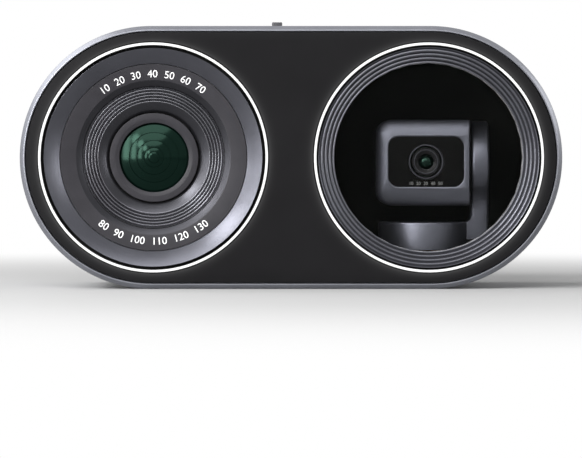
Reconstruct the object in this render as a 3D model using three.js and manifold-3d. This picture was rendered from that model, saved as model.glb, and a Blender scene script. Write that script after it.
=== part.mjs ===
// The head of a two-lens conference camera: a rounded oblong housing that holds a fixed wide camera behind
// a ribbed funnel on the left, and a small pan and tilt camera behind a round window on the right.
// Millimetres, +Z up, the front faces -Y. The origin is under the middle of the housing, on its flat foot.
import * as THREE from "three";
import { mergeVertices } from "three/addons/utils/BufferGeometryUtils.js";
import Module from "manifold-3d";

const wasm = await Module();
wasm.setup();

// Steps round a full turn, by the size of the piece
const largeSteps = 32;
const mediumSteps = 20;
const smallSteps = 10;

// Driving sizes of the whole head
const seam = 0.3; // gap left where one piece seats on another
const cutPast = 1; // how far a cutter runs past what it cuts
const weld = 0.0001; // corners nearer than this are one corner
const lightRingRadius = 34.6;
const lightRingSpacing = 13.6; // left between the two light rings
const rimMargin = 4.9; // from the light ring out to the side of the shell
const endShift = 0.6; // how far each rounded end is centred outside its lens axis
const shellWall = 2.7;
const lipChamfer = 1.2;
const lipFlat = 0.4; // flat edge left inside the chamfer
const lipChamferDepth = 1.5;
const panelThickness = 2.5;
const chassisSetback = 6; // from the lip to the front of the chassis
const chassisThickness = 3;
const boardThickness = 1;
const rearGap = 3.7; // from the gimbal chamber to the rear cover

// Driving sizes of the moving camera
const windowThickness = 1.5;
const windowClearance = 2.4; // from the window to what swings behind it
const armInner = 13.75; // from the pan axis to the inner face of the arm
const armWidth = 5.4;
const armRadius = 12.9;
const drumRadius = 14.5;
const drumDrop = 18.25; // from the tilt axis down to the top of the drum
const gimbalDrop = 1.6; // from the window's axis down to the tilt axis
const lensShift = -0.25; // from the pan axis across to the axis of the moving lens
const lensRise = 0.3; // from the tilt axis up to the axis of the moving lens
const chamberWall = 1.5;
const chamberFloorShare = 0.91; // height of the chamber's floor chord, as a share of its inner radius

// Places that follow from the driving sizes
const lensSpacing = 2 * lightRingRadius + lightRingSpacing;
const shellRadius = lightRingRadius + rimMargin;
const lipWall = lipChamfer + lipFlat; // wall left round the front panel and the rear cover
const endCentre = lensSpacing / 2 + endShift;
const axisHeight = shellRadius;
const wallRadius = shellRadius - shellWall;
const ledgeRise = 0.8; // the small step inside the shell that the chassis seats on
const ledgeRadius = wallRadius - ledgeRise;
const armOuter = armInner + armWidth;
const swingRadius = Math.hypot(armOuter, armRadius);
const swingClearance = 0.8;
const gasketThickness = 0.6;
const chassisToWindow = seam + gasketThickness + seam; // from the chassis out to the back of the window
const panToChassis = swingRadius + windowClearance - chassisToWindow;
const chamberDepth = swingRadius + swingClearance + chamberWall; // from the pan axis back
const headDepth =
  chassisSetback + panToChassis + chamberDepth + rearGap + panelThickness + seam;

const lipY = -headDepth / 2;
const panelFaceY = lipY + seam;
const panelBackY = panelFaceY + panelThickness;
const chassisFrontY = lipY + chassisSetback;
const chassisBackY = chassisFrontY + chassisThickness;
const ledBackY = chassisFrontY - seam;
const ledFrontY = ledBackY - boardThickness;
const panY = chassisFrontY + panToChassis;
const chamberBackY = panY + chamberDepth;
const coverFrontY = chamberBackY + rearGap;
const coverBackY = coverFrontY + panelThickness;
const rearY = headDepth / 2;

// A geometry as a closed solid with merged corners and its faces pointing out
function solid(geometry) {
  geometry.deleteAttribute("normal");
  geometry.deleteAttribute("uv");
  const merged = mergeVertices(geometry, weld);
  const corners = merged.index.array;
  const kept = [];
  for (let i = 0; i < corners.length; i += 3) {
    const [a, b, c] = [corners[i], corners[i + 1], corners[i + 2]];
    if (a !== b && b !== c && c !== a) kept.push(a, b, c);
  }
  const vertProperties = new Float32Array(merged.attributes.position.array);
  const build = (triVerts) => new wasm.Manifold(new wasm.Mesh({ numProp: 3, vertProperties, triVerts }));
  const made = build(new Uint32Array(kept));
  return made.volume() > 0 ? made : build(new Uint32Array(kept.reverse()));
}

// A solid as a three.js geometry
function geometryOf(made) {
  const mesh = made.getMesh();
  const geometry = new THREE.BufferGeometry();
  geometry.setAttribute("position", new THREE.BufferAttribute(new Float32Array(mesh.vertProperties), 3));
  geometry.setIndex(new THREE.BufferAttribute(new Uint32Array(mesh.triVerts), 1));
  geometry.computeVertexNormals();
  return geometry;
}

const join = (first, ...rest) => rest.reduce((whole, more) => whole.add(more), first);
const cut = (first, ...rest) => rest.reduce((whole, tool) => whole.subtract(tool), first);

// The three ways a section can stand: its own z runs along the named axis
const stances = {
  x: new THREE.Matrix4().makeBasis(
    new THREE.Vector3(0, 1, 0),
    new THREE.Vector3(0, 0, 1),
    new THREE.Vector3(1, 0, 0),
  ),
  y: new THREE.Matrix4().makeBasis(
    new THREE.Vector3(-1, 0, 0),
    new THREE.Vector3(0, 0, 1),
    new THREE.Vector3(0, 1, 0),
  ),
  z: new THREE.Matrix4(),
};

// A ring or disc turned about an axis. The profile is a list of [radius, place along the axis].
function turned(axis, profile, steps) {
  const points = profile.map(([radius, along]) => new THREE.Vector2(radius, along));
  const open = profile[0][0] === 0 && profile[profile.length - 1][0] === 0;
  if (!open) points.push(points[0].clone());
  const geometry = new THREE.LatheGeometry(points, steps);
  geometry.rotateX(Math.PI / 2);
  geometry.applyMatrix4(stances[axis]);
  return solid(geometry);
}

const tube = (axis, inner, outer, low, high, steps) =>
  turned(axis, [[inner, low], [outer, low], [outer, high], [inner, high]], steps);

const rod = (axis, radius, low, high, steps) =>
  turned(axis, [[0, low], [radius, low], [radius, high], [0, high]], steps);

function arc(x, y, radius, from, to, steps) {
  return Array.from({ length: steps + 1 }, (_, i) => {
    const turn = from + ((to - from) * i) / steps;
    return new THREE.Vector2(x + radius * Math.cos(turn), y + radius * Math.sin(turn));
  });
}

const circle = (x, y, radius, steps) => arc(x, y, radius, 0, 2 * Math.PI, steps).slice(0, -1);

function roundedRectangle(x, y, width, height, radius, steps) {
  const [dx, dy] = [width / 2 - radius, height / 2 - radius];
  const quarter = Math.PI / 2;
  return [[dx, dy], [-dx, dy], [-dx, -dy], [dx, -dy]].flatMap(([cx, cy], i) =>
    arc(x + cx, y + cy, radius, i * quarter, (i + 1) * quarter, steps),
  );
}

const rectangle = (x, y, width, height) => [
  new THREE.Vector2(x - width / 2, y - height / 2),
  new THREE.Vector2(x + width / 2, y - height / 2),
  new THREE.Vector2(x + width / 2, y + height / 2),
  new THREE.Vector2(x - width / 2, y + height / 2),
];

// An outline pushed along an axis from low to high. On the y axis the outline is drawn as seen from the
// front, x to the right and z up; on the x axis it is drawn in y and z; on the z axis in x and y.
function prism(axis, outline, low, high, { holes = [], round = 0, roundSteps = 2 } = {}) {
  const mirrored = axis === "y" ? (p) => new THREE.Vector2(-p.x, p.y) : (p) => p;
  const shape = new THREE.Shape(outline.map(mirrored));
  const geometry = new THREE.ExtrudeGeometry(shape, {
    depth: high - low - 2 * round,
    bevelEnabled: round > 0,
    bevelThickness: round,
    bevelSize: round,
    bevelOffset: -round,
    bevelSegments: roundSteps,
  });
  geometry.translate(0, 0, low + round);
  geometry.applyMatrix4(stances[axis]);
  return cut(solid(geometry), ...holes.map((hole) => prism(axis, hole, low - cutPast, high + cutPast)));
}

// The rounded oblong of the head, drawn in from its outside by an inset
function oblong(inset) {
  const steps = largeSteps / 2;
  const radius = shellRadius - inset;
  const quarter = Math.PI / 2;
  return [
    ...arc(endCentre, 0, radius, -quarter, quarter, steps),
    ...arc(-endCentre, 0, radius, quarter, 3 * quarter, steps),
  ];
}

// A wall that runs round the rounded oblong. Its section is a closed list of [inset, place along y].
function oblongWall(section) {
  const rows = section.map(([inset, y]) => oblong(inset).map((p) => [p.x, y, p.y]));
  const stations = rows[0].length;
  const positions = rows.flat(2);
  const index = [];
  for (let row = 0; row < rows.length; row++) {
    const next = (row + 1) % rows.length;
    for (let i = 0; i < stations; i++) {
      const after = (i + 1) % stations;
      const [a, b] = [row * stations + i, row * stations + after];
      const [c, d] = [next * stations + after, next * stations + i];
      index.push(a, b, c, a, c, d);
    }
  }
  const geometry = new THREE.BufferGeometry();
  geometry.setAttribute("position", new THREE.Float32BufferAttribute(positions, 3));
  geometry.setIndex(index);
  return solid(geometry);
}

const paint = (color, roughness, metalness, more = {}) =>
  new THREE.MeshStandardMaterial({ color, roughness, metalness, flatShading: true, ...more });
const finishes = {
  shell: paint(0x83858f, 0.42, 0.7),
  panel: paint(0x1c1b1d, 0.3, 0.1),
  ring: paint(0x5b5c66, 0.38, 0.6),
  dark: paint(0x2d2d30, 0.45, 0.2),
  light: paint(0xffffff, 0.3, 0, { emissive: 0xffffff, emissiveIntensity: 0.8 }),
  glass: paint(0x1f3b33, 0.05, 0, { transparent: true, opacity: 0.45 }),
  window: paint(0xdfe6ea, 0.03, 0, { transparent: true, opacity: 0.15 }),
  black: paint(0x0e0e0f, 0.8, 0),
  rubber: paint(0x151515, 0.9, 0),
  gimbal: paint(0x686a75, 0.4, 0.65),
  board: paint(0x17492f, 0.6, 0.1),
  chip: paint(0x202022, 0.5, 0),
  metal: paint(0xb7b9bd, 0.35, 0.9),
  steel: paint(0x8f9196, 0.3, 0.95),
  brass: paint(0xb08d4a, 0.35, 0.9),
  copper: paint(0xa0562a, 0.4, 0.8),
};

const head = new THREE.Group();
const housing = new THREE.Group();
housing.position.z = axisHeight;
head.add(housing);
const wide = new THREE.Group();
wide.position.x = -lensSpacing / 2;
const tele = new THREE.Group();
tele.position.x = lensSpacing / 2;
housing.add(wide, tele);
const gimbal = new THREE.Group();
gimbal.position.set(0, panY, -gimbalDrop);
tele.add(gimbal);

function place(group, name, made, finish) {
  const mesh = new THREE.Mesh(geometryOf(made), finishes[finish]);
  mesh.name = name;
  group.add(mesh);
}

// Slide switch on the crown of the shell: a black knob in a slot, over a switch body under the wall
const knobLength = 3.1;
const knobWidth = 2;
const knobRise = 1.25;
const knobTravel = 2;
const knobX = -4.2;
const knobRound = 0.35;
const knobFootLength = 5;
const knobFootWidth = 3.6;
const knobFootHeight = 0.8;
const slotLength = knobLength + knobTravel + 2 * seam;
const slotX = knobX + knobTravel / 2;
const switchWall = 0.8;
const switchHeight = 3.6;
const switchLength = knobFootLength + knobTravel + 2 * (seam + switchWall);
const switchDepth = knobFootWidth + 2 * (seam + switchWall);
const knobY = panelBackY + seam + switchDepth / 2;
const switchTop = wallRadius - seam;

function makeSwitch() {
  const footLow = switchTop - knobFootHeight;
  const stem = prism(
    "z",
    rectangle(knobX, knobY, knobLength, knobWidth),
    switchTop - knobFootHeight / 2,
    shellRadius + knobRise,
    { round: knobRound },
  );
  const foot = prism("z", rectangle(knobX, knobY, knobFootLength, knobFootWidth), footLow, switchTop);
  place(housing, "mode_slider", join(foot, stem), "dark");

  const outline = rectangle(slotX, knobY, switchLength, switchDepth);
  const body = prism("z", outline, switchTop - switchHeight, switchTop);
  const cavity = prism(
    "z",
    rectangle(slotX, knobY, switchLength - 2 * switchWall, switchDepth - 2 * switchWall),
    footLow - seam,
    switchTop + cutPast,
  );
  place(housing, "switch_body", cut(body, cavity), "metal");
}

// Outer shell: an oblong sleeve with a chamfered lip, seats for the front panel and the rear cover, a step
// for the chassis, four screw posts at the back and the slot of the slide switch
const postRadius = 3;
const postSink = 0.8; // how far a post is sunk into the wall
const postAngle = (57 * Math.PI) / 180;
const postHole = 1.3;
const ledgeDepth = 1.5;
const ledgeFrontY = chassisBackY + seam;
const postReach = wallRadius + postSink - postRadius;
const postPlaces = [-1, 1].flatMap((side) =>
  [-1, 1].map((up) => [
    side * (endCentre + postReach * Math.cos(postAngle)),
    up * postReach * Math.sin(postAngle),
  ]),
);

function makeShell() {
  const seatY = panelBackY + seam;
  const rearSeatY = coverFrontY - seam;
  const wallInset = shellWall;
  const ledgeInset = shellWall + ledgeRise;
  let shell = oblongWall([
    [lipChamfer, lipY],
    [0, lipY + lipChamferDepth],
    [0, rearY - lipChamferDepth],
    [lipChamfer, rearY],
    [lipWall, rearY],
    [lipWall, rearSeatY],
    [wallInset, rearSeatY],
    [wallInset, ledgeFrontY + ledgeDepth],
    [ledgeInset, ledgeFrontY + ledgeDepth],
    [ledgeInset, ledgeFrontY],
    [wallInset, ledgeFrontY],
    [wallInset, seatY],
    [lipWall, seatY],
    [lipWall, lipY],
  ]);
  const postFrontY = chamberBackY + seam;
  for (const [x, z] of postPlaces)
    shell = join(shell, prism("y", circle(x, z, postRadius, smallSteps), postFrontY, rearSeatY));
  for (const [x, z] of postPlaces)
    shell = cut(shell, prism("y", circle(x, z, postHole, smallSteps), postFrontY - cutPast, rearY));
  const slot = prism(
    "z",
    rectangle(slotX, knobY, slotLength, knobWidth + 2 * seam),
    wallRadius - cutPast,
    shellRadius + cutPast,
  );
  place(housing, "outer_shell", cut(shell, slot), "shell");
}

// Front panel: a flat black oblong set just behind the lip, with one round opening for each camera
const panelOpening = lightRingRadius + seam;

function makePanel() {
  const holes = [-1, 1].map((side) => circle((side * lensSpacing) / 2, 0, panelOpening, largeSteps));
  const panel = prism("y", oblong(lipWall + seam), panelFaceY, panelBackY, { holes });
  place(housing, "front_panel", panel, "panel");
}

// Chassis: a cast plate behind the panel that carries both cameras. Ribs on its back stiffen the middle.
const baffleRadius = 21.3;
const chassisRibWidth = 2;
const chassisRibDepth = 4;
const chassisRibShare = 0.62; // height of a rib, as a share of the plate's half height
const chassisRibSpacing = 4.5;

function makeChassis() {
  const holes = [
    circle(-lensSpacing / 2, 0, baffleRadius + seam, largeSteps),
    circle(lensSpacing / 2, 0, windowOpening, largeSteps),
  ];
  const plate = prism("y", oblong(shellWall + seam), chassisFrontY, chassisBackY, { holes });
  const ribX = lensSpacing / 2 - chamberRadius - chassisRibSpacing;
  const ribs = [0, 1].map((i) =>
    prism(
      "y",
      rectangle(ribX - i * chassisRibSpacing, 0, chassisRibWidth, 2 * wallRadius * chassisRibShare),
      chassisBackY - chassisThickness / 2,
      chassisBackY + chassisRibDepth,
    ),
  );
  const notch = prism(
    "z",
    rectangle(slotX, knobY, switchLength + 2 * seam, switchDepth + 2 * seam),
    switchTop - switchHeight - seam,
    shellRadius,
  );
  place(housing, "chassis_plate", cut(join(plate, ...ribs), notch), "metal");
}

// Light rings and their boards: a clear ring flush with the lip, lit from behind by a ring of small lamps
const lightRingWidth = 0.95;
const ledHeight = 0.6;
const ledWidth = 1.8;
const ledCount = 8;
const ledBoardGap = 0.7; // from the window to the lamp board round it
const ledBoardMargin = 1; // board left outside the light ring
const ledLineRadius = lightRingRadius - lightRingWidth / 2;

function makeLightRing(group, prefix) {
  const ringBackY = ledFrontY - ledHeight - seam;
  const ring = tube("y", lightRingRadius - lightRingWidth, lightRingRadius, lipY, ringBackY, largeSteps);
  place(group, prefix + "_light_ring", ring, "light");
  const board = tube("y", ledBoardInner, lightRingRadius + ledBoardMargin, ledFrontY, ledBackY, largeSteps);
  const lamps = Array.from({ length: ledCount }, (_, i) => {
    const turn = (2 * Math.PI * (i + 1 / 2)) / ledCount;
    const lamp = rectangle(ledLineRadius, 0, lightRingWidth, ledWidth);
    const outline = lamp.map((p) => p.rotateAround(new THREE.Vector2(), turn));
    return prism("y", outline, ledFrontY - ledHeight, ledFrontY + boardThickness / 2);
  });
  place(group, prefix + "_led_board", join(board, ...lamps), "black");
}

// Wide camera funnel: a smooth cone inside the light ring, a marking ring with a bevelled inner edge, and a
// stepped baffle
const coneGap = 0.85; // dark gap between the light ring and the cone
const coneOuter = lightRingRadius - lightRingWidth - coneGap;
const coneWidth = 4.4;
const coneInner = coneOuter - coneWidth;
const coneDepth = 2.6;
const coneFootY = ledFrontY - seam;
const markingOuter = coneInner - seam;
const markingInner = baffleRadius + seam;
const markingFall = 0.5; // how far its face falls towards the lens
const markingBevel = 1.9;
const markingBevelFall = 0.45;
const baffleRibs = 5;
const baffleRibPitch = 0.9;
const baffleRibDrop = 0.6;
const baffleRibCut = 0.45; // depth of the groove under each rib
const funnelGap = 0.6; // dark gap between the funnel and the lens barrel
const funnelFall = 1.2;
const mountFaceY = chassisBackY + seam;

function makeWideFunnel() {
  const coneBackY = panelFaceY + coneDepth;
  const cone = turned(
    "y",
    [
      [coneOuter, panelFaceY],
      [coneOuter, coneFootY],
      [ledBoardInner, coneFootY],
      [coneInner, coneBackY + (coneFootY - coneBackY) / 2],
      [coneInner, coneBackY],
    ],
    largeSteps,
  );
  place(wide, "wide_front_cone", cone, "ring");

  const markingBackY = chassisFrontY - seam;
  const baffleFrontY = coneBackY + markingFall + markingBevelFall;
  const marking = turned(
    "y",
    [
      [markingOuter, coneBackY],
      [markingOuter, markingBackY],
      [markingInner, markingBackY],
      [markingInner, baffleFrontY],
      [markingInner + markingBevel, coneBackY + markingFall],
    ],
    largeSteps,
  );
  place(wide, "wide_marking_ring", marking, "dark");

  const ribs = Array.from({ length: baffleRibs }, (_, i) => {
    const radius = baffleRadius - i * baffleRibPitch;
    const crestY = baffleFrontY + i * baffleRibDrop;
    return [
      [radius - baffleRibPitch / 2, crestY],
      [radius - baffleRibPitch, crestY + baffleRibDrop + baffleRibCut],
    ];
  }).flat();
  const ribbedInner = baffleRadius - baffleRibs * baffleRibPitch;
  const ribbedY = baffleFrontY + baffleRibs * baffleRibDrop;
  const baffle = turned(
    "y",
    [
      [baffleRadius, baffleFrontY],
      ...ribs,
      [ribbedInner - baffleRibPitch / 2, ribbedY],
      [funnelInner, ribbedY + funnelFall],
      [funnelInner, mountFaceY - seam],
      [baffleRadius, mountFaceY - seam],
    ],
    largeSteps,
  );
  place(wide, "wide_baffle", baffle, "ring");
}

// Wide camera optics: a barrel with three lenses, a stop and a spacer, in a mount that carries the sensor
const barrelRadius = 13.4;
const funnelInner = barrelRadius + funnelGap;
const barrelBore = 11.2;
const barrelLength = 24;
const rearBore = 6.4;
const rearBoreLength = 7;
const retainerThickness = 1.5;
const frontLensRadius = barrelBore - seam;
const retainerLap = 0.4; // how far the retaining ring covers the front lens
const glassRadius = frontLensRadius - retainerLap;
const frontLensRim = 0.5;
const frontLensSag = 2.6;
const frontLensEdge = 2;
const frontLensDish = 1.4;
const lensArcSteps = 3;
const spacerLength = 3.4;
const spacerWall = 2.2;
const secondLensEdge = 1.6;
const secondLensSag = 1.1;
const stopThickness = 0.8;
const stopHole = 2.6;
const rearLensRim = 1;
const rearLensSag = 1.5;
const rearLensEdge = 2;
const mountWall = 2.3;
const mountFlangeRadius = 25;
const mountFlangeThickness = 2.5;
const sensorWidth = 13;
const sensorHeight = 11;
const sensorThickness = 1.6;
const sensorBoardSize = 31;
const barrelFrontY = mountFaceY + seam;
const barrelBackY = barrelFrontY + barrelLength;
const sensorBoardFrontY = barrelBackY + 2 * seam + sensorThickness + seam;

// Points of a lens face from its flat rim to its centre, bulging by sag towards -Y
function lensFace(radius, rim, rimY, sag) {
  if (sag === 0) return [[radius, rimY], [0, rimY]];
  const bulge = Array.from({ length: lensArcSteps + 1 }, (_, i) => {
    const share = 1 - i / lensArcSteps;
    return [(radius - rim) * share, rimY - sag * (1 - share * share)];
  });
  return [[radius, rimY], ...bulge];
}

function lens(radius, rim, rimY, frontSag, edge, backSag) {
  const back = lensFace(radius, rim, rimY + edge, backSag).reverse();
  return turned("y", [...back, ...lensFace(radius, rim, rimY, frontSag)], mediumSteps);
}

function makeWideOptics() {
  const retainerBackY = barrelFrontY - seam;
  const retainerFrontY = retainerBackY - retainerThickness;
  const retainer = turned(
    "y",
    [
      [glassRadius + retainerThickness / 2, retainerFrontY],
      [barrelRadius, retainerFrontY],
      [barrelRadius, retainerBackY],
      [glassRadius, retainerBackY],
      [glassRadius, retainerBackY - retainerThickness / 2],
    ],
    largeSteps,
  );
  place(wide, "wide_lens_retainer", retainer, "dark");

  const barrel = turned(
    "y",
    [
      [barrelBore, barrelFrontY],
      [barrelRadius, barrelFrontY],
      [barrelRadius, barrelBackY],
      [rearBore, barrelBackY],
      [rearBore, barrelBackY - rearBoreLength],
      [barrelBore, barrelBackY - rearBoreLength],
    ],
    mediumSteps,
  );
  place(wide, "wide_barrel", barrel, "black");

  let y = barrelFrontY + seam;
  const frontLens = lens(frontLensRadius, frontLensRim, y, frontLensSag, frontLensEdge, frontLensDish);
  place(wide, "wide_front_lens", frontLens, "glass");
  y += frontLensEdge + seam;
  const spacer = tube("y", frontLensRadius - spacerWall, frontLensRadius, y, y + spacerLength, mediumSteps);
  place(wide, "wide_lens_spacer", spacer, "black");
  y += spacerLength + seam;
  const secondLens = lens(frontLensRadius, spacerWall, y, secondLensSag, secondLensEdge, 0);
  place(wide, "wide_second_lens", secondLens, "glass");
  y += secondLensEdge + seam;
  const stopBackY = barrelBackY - rearBoreLength - seam;
  const sleeveInner = frontLensRadius - spacerWall;
  const stop = turned(
    "y",
    [
      [sleeveInner, y],
      [frontLensRadius, y],
      [frontLensRadius, stopBackY],
      [stopHole, stopBackY],
      [stopHole, stopBackY - stopThickness],
      [sleeveInner, stopBackY - stopThickness],
    ],
    mediumSteps,
  );
  place(wide, "wide_aperture_stop", stop, "black");
  const rearRimY = stopBackY + seam + rearLensSag;
  const rearLens = lens(rearBore - seam, rearLensRim, rearRimY, rearLensSag, rearLensEdge, 0);
  place(wide, "wide_rear_lens", rearLens, "glass");

  const mountInner = barrelRadius + seam;
  const mountOuter = mountInner + mountWall;
  const mountBackY = sensorBoardFrontY - seam;
  const mount = turned(
    "y",
    [
      [mountInner, mountFaceY],
      [mountFlangeRadius, mountFaceY],
      [mountFlangeRadius, mountFaceY + mountFlangeThickness],
      [mountOuter, mountFaceY + mountFlangeThickness],
      [mountOuter, mountBackY],
      [mountInner, mountBackY],
    ],
    mediumSteps,
  );
  place(wide, "wide_lens_mount", mount, "metal");

  const sensorBackY = sensorBoardFrontY - seam;
  const sensorOutline = rectangle(0, 0, sensorWidth, sensorHeight);
  const sensor = prism("y", sensorOutline, sensorBackY - sensorThickness, sensorBackY);
  place(wide, "wide_sensor", sensor, "chip");
  const board = prism(
    "y",
    rectangle(0, 0, sensorBoardSize, sensorBoardSize),
    sensorBoardFrontY,
    sensorBoardFrontY + boardThickness,
  );
  place(wide, "wide_sensor_board", board, "board");
}

// Heat sink behind the wide sensor: a plate with upright fins
const sinkSize = 34;
const sinkPlate = 2;
const finCount = 8;
const finThickness = 1.3;
const finGap = 2; // from the fins to the main board

function makeHeatSink() {
  const plateY = sensorBoardFrontY + boardThickness + seam;
  const finPitch = (sinkSize - finThickness) / (finCount - 1);
  const plate = prism("y", rectangle(0, 0, sinkSize, sinkSize), plateY, plateY + sinkPlate);
  const fins = Array.from({ length: finCount }, (_, i) => {
    const x = (finThickness - sinkSize) / 2 + i * finPitch;
    const outline = rectangle(x, 0, finThickness, sinkSize);
    return prism("y", outline, plateY + sinkPlate / 2, mainBoardFrontY - finGap);
  });
  place(wide, "wide_heat_sink", join(plate, ...fins), "metal");
}

// Rear cover: an oblong plate with two banks of vent slots, four screw holes, four bosses for the threaded
// inserts that hold the head to its carrier, four board posts and a port for the wiring harness
const screwHeadRadius = 2.3;
const screwHeadHeight = 1.2;
const screwShank = 1;
const screwLength = 4.4;
const insertSpacingX = 44;
const insertSpacingZ = 48;
const insertRadius = 2.4;
const insertBore = 1.25;
const insertLength = 4;
const bossWall = 1.7;
const bossFloor = 0.6;
const ventCount = 6;
const ventPitch = 4.8;
const ventWidth = 2;
const ventHeight = 22;
const ventBankShift = 4; // how far a bank of vents stands outside its lens axis
const ventCornerShare = 0.3; // corner cut of a vent slot, as a share of its width
const postBoardRadius = 2.2;
const postBoardLength = 4.8;
const portMargin = 1.4; // open edge left round the harness socket
const portRound = 1.5;
const insertPlaces = [-1, 1].flatMap((side) =>
  [-1, 1].map((up) => [(side * insertSpacingX) / 2, (up * insertSpacingZ) / 2]),
);

// Main board: a rectangle that carries the processor and the harness socket
const mainBoardThickness = 1.6;
const mainBoardWidth = 66;
const mainBoardHeight = 54;
const mainBoardShift = 10.4; // from the wide lens axis to the middle of the board
const mainBoardX = mainBoardShift - lensSpacing / 2;
const boardPostInset = 4;
const mainBoardBackY = coverFrontY - postBoardLength - seam;
const mainBoardFrontY = mainBoardBackY - mainBoardThickness;
const processorSize = 16;
const processorHeight = 1.8;
const processorInset = 12; // from the end of the board to the middle of the processor
const processorX = mainBoardX + mainBoardWidth / 2 - processorInset;
const processorZ = 17;
const socketWidth = 23;
const socketHeight = 7;
const harnessInset = 14; // from the end of the board to the middle of the socket
const harnessX = mainBoardX + mainBoardWidth / 2 - harnessInset;
const socketWall = 1.1;
const socketFloor = 1.5;

function makeRearCover() {
  const vents = [-1, 1].flatMap((side) =>
    Array.from({ length: ventCount }, (_, i) => {
      const x = (side * lensSpacing) / 2 + side * ventBankShift + (i - (ventCount - 1) / 2) * ventPitch;
      return roundedRectangle(x, 0, ventWidth, ventHeight, ventWidth * ventCornerShare, 1);
    }),
  );
  const [portWidth, portHeight] = [socketWidth, socketHeight].map((size) => size + 2 * portMargin);
  const port = roundedRectangle(harnessX, 0, portWidth, portHeight, portRound, 2);
  const outline = oblong(lipWall + seam);
  let cover = prism("y", outline, coverFrontY, coverBackY, { holes: [...vents, port] });
  const bossDepth = insertLength + seam + bossFloor;
  for (const [x, z] of insertPlaces) {
    const boss = circle(x, z, insertRadius + seam + bossWall, smallSteps);
    cover = join(cover, prism("y", boss, coverBackY - bossDepth, coverFrontY + panelThickness / 2));
  }
  for (const [x, z] of insertPlaces) {
    const bore = circle(x, z, insertRadius + seam, smallSteps);
    cover = cut(cover, prism("y", bore, coverBackY - insertLength - seam, coverBackY + cutPast));
  }
  for (const side of [-1, 1])
    for (const up of [-1, 1]) {
      const x = mainBoardX + side * (mainBoardWidth / 2 - boardPostInset);
      const z = up * (mainBoardHeight / 2 - boardPostInset);
      const post = circle(x, z, postBoardRadius, smallSteps);
      cover = join(cover, prism("y", post, coverFrontY - postBoardLength, coverFrontY + panelThickness / 2));
    }
  for (const [x, z] of postPlaces) {
    const hole = circle(x, z, postHole, smallSteps);
    const sink = circle(x, z, screwHeadRadius + seam, smallSteps);
    cover = cut(
      cover,
      prism("y", hole, coverFrontY - postBoardLength - cutPast, coverBackY),
      prism("y", sink, coverBackY - screwHeadHeight - seam, coverBackY + cutPast),
    );
  }
  place(housing, "rear_cover", cover, "panel");
}

function makeFasteners() {
  postPlaces.forEach(([x, z], i) => {
    const headY = coverBackY;
    const seatY = headY - screwHeadHeight;
    const screw = turned(
      "y",
      [
        [0, headY - screwHeadHeight - screwLength],
        [screwShank, headY - screwHeadHeight - screwLength],
        [screwShank, seatY],
        [screwHeadRadius, seatY],
        [screwHeadRadius, headY],
        [0, headY],
      ],
      smallSteps,
    );
    place(housing, "cover_screw_" + (i + 1), screw.translate([x, 0, z]), "steel");
  });
  insertPlaces.forEach(([x, z], i) => {
    const insert = tube("y", insertBore, insertRadius, coverBackY - insertLength, coverBackY, smallSteps);
    place(housing, "mount_insert_" + (i + 1), insert.translate([x, 0, z]), "brass");
  });
}

function makeMainBoard() {
  const board = prism(
    "y",
    roundedRectangle(mainBoardX, 0, mainBoardWidth, mainBoardHeight, boardPostInset / 2, 2),
    mainBoardFrontY,
    mainBoardBackY,
  );
  place(housing, "main_board", board, "board");
  const processorBackY = mainBoardFrontY - seam;
  const chip = prism(
    "y",
    rectangle(processorX, processorZ, processorSize, processorSize),
    processorBackY - processorHeight,
    processorBackY,
  );
  place(housing, "main_processor", chip, "chip");
  const socketFrontY = mainBoardBackY + seam;
  const body = prism("y", rectangle(harnessX, 0, socketWidth, socketHeight), socketFrontY, coverBackY);
  const recess = prism(
    "y",
    rectangle(harnessX, 0, socketWidth - 2 * socketWall, socketHeight - 2 * socketWall),
    socketFrontY + socketFloor,
    coverBackY + cutPast,
  );
  place(housing, "harness_socket", cut(body, recess), "dark");
}

// Window of the moving camera: a ribbed ring, a clear disc and the gasket it rests on
const ribRingGap = 0.55; // dark gap between the light ring and the ribbed ring
const ribRingWall = 2.9; // wall of the ribbed ring round the window's edge
const ribRingLap = 1.5; // how far the ribbed ring covers the window's front
const windowLap = 1.4; // how far the chassis covers the window's back
const ribRingOuter = lightRingRadius - lightRingWidth - ribRingGap;
const windowRadius = ribRingOuter - ribRingWall - seam;
const windowOpening = windowRadius - windowLap;
const ribRingInner = windowRadius - ribRingLap;
const ledBoardInner = windowRadius + ledBoardGap;
const ribRingRibs = 4;
const ribRingCut = 0.5;
const windowBackY = chassisFrontY - chassisToWindow;
const windowFrontY = windowBackY - windowThickness;

function makeWindow() {
  const seatY = windowFrontY - seam;
  const pitch = (ribRingOuter - ribRingInner) / ribRingRibs;
  const drop = (seatY - seam - panelFaceY) / ribRingRibs;
  const ribs = Array.from({ length: ribRingRibs }, (_, i) => [
    [ribRingOuter - (i + 1 / 2) * pitch, panelFaceY + i * drop],
    [ribRingOuter - (i + 1) * pitch, panelFaceY + (i + 1) * drop + ribRingCut],
  ]).flat();
  const ring = turned(
    "y",
    [
      [ribRingOuter, panelFaceY],
      ...ribs.slice(0, -1),
      [ribRingInner, seatY - seam],
      [ribRingInner, seatY],
      [windowRadius + seam, seatY],
      [windowRadius + seam, coneFootY],
      [ribRingOuter, coneFootY],
    ],
    largeSteps,
  );
  place(tele, "tele_rib_ring", ring, "ring");
  place(tele, "tele_window", rod("y", windowRadius, windowFrontY, windowBackY, largeSteps), "window");
  const gasketBackY = chassisFrontY - seam;
  const gasketFrontY = gasketBackY - gasketThickness;
  const gasket = tube("y", windowOpening, windowRadius, gasketFrontY, gasketBackY, largeSteps);
  place(tele, "tele_window_gasket", gasket, "rubber");
}

// Gimbal chamber: a black cup behind the window with a flat floor chord that the pan base stands on
const chamberRadius = ledgeRadius - seam;
const chamberInner = chamberRadius - chamberWall;
const chamberFloorZ = -chamberInner * chamberFloorShare;
const chamberFrontY = chassisBackY + seam;
const floorHole = 4;

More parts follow.
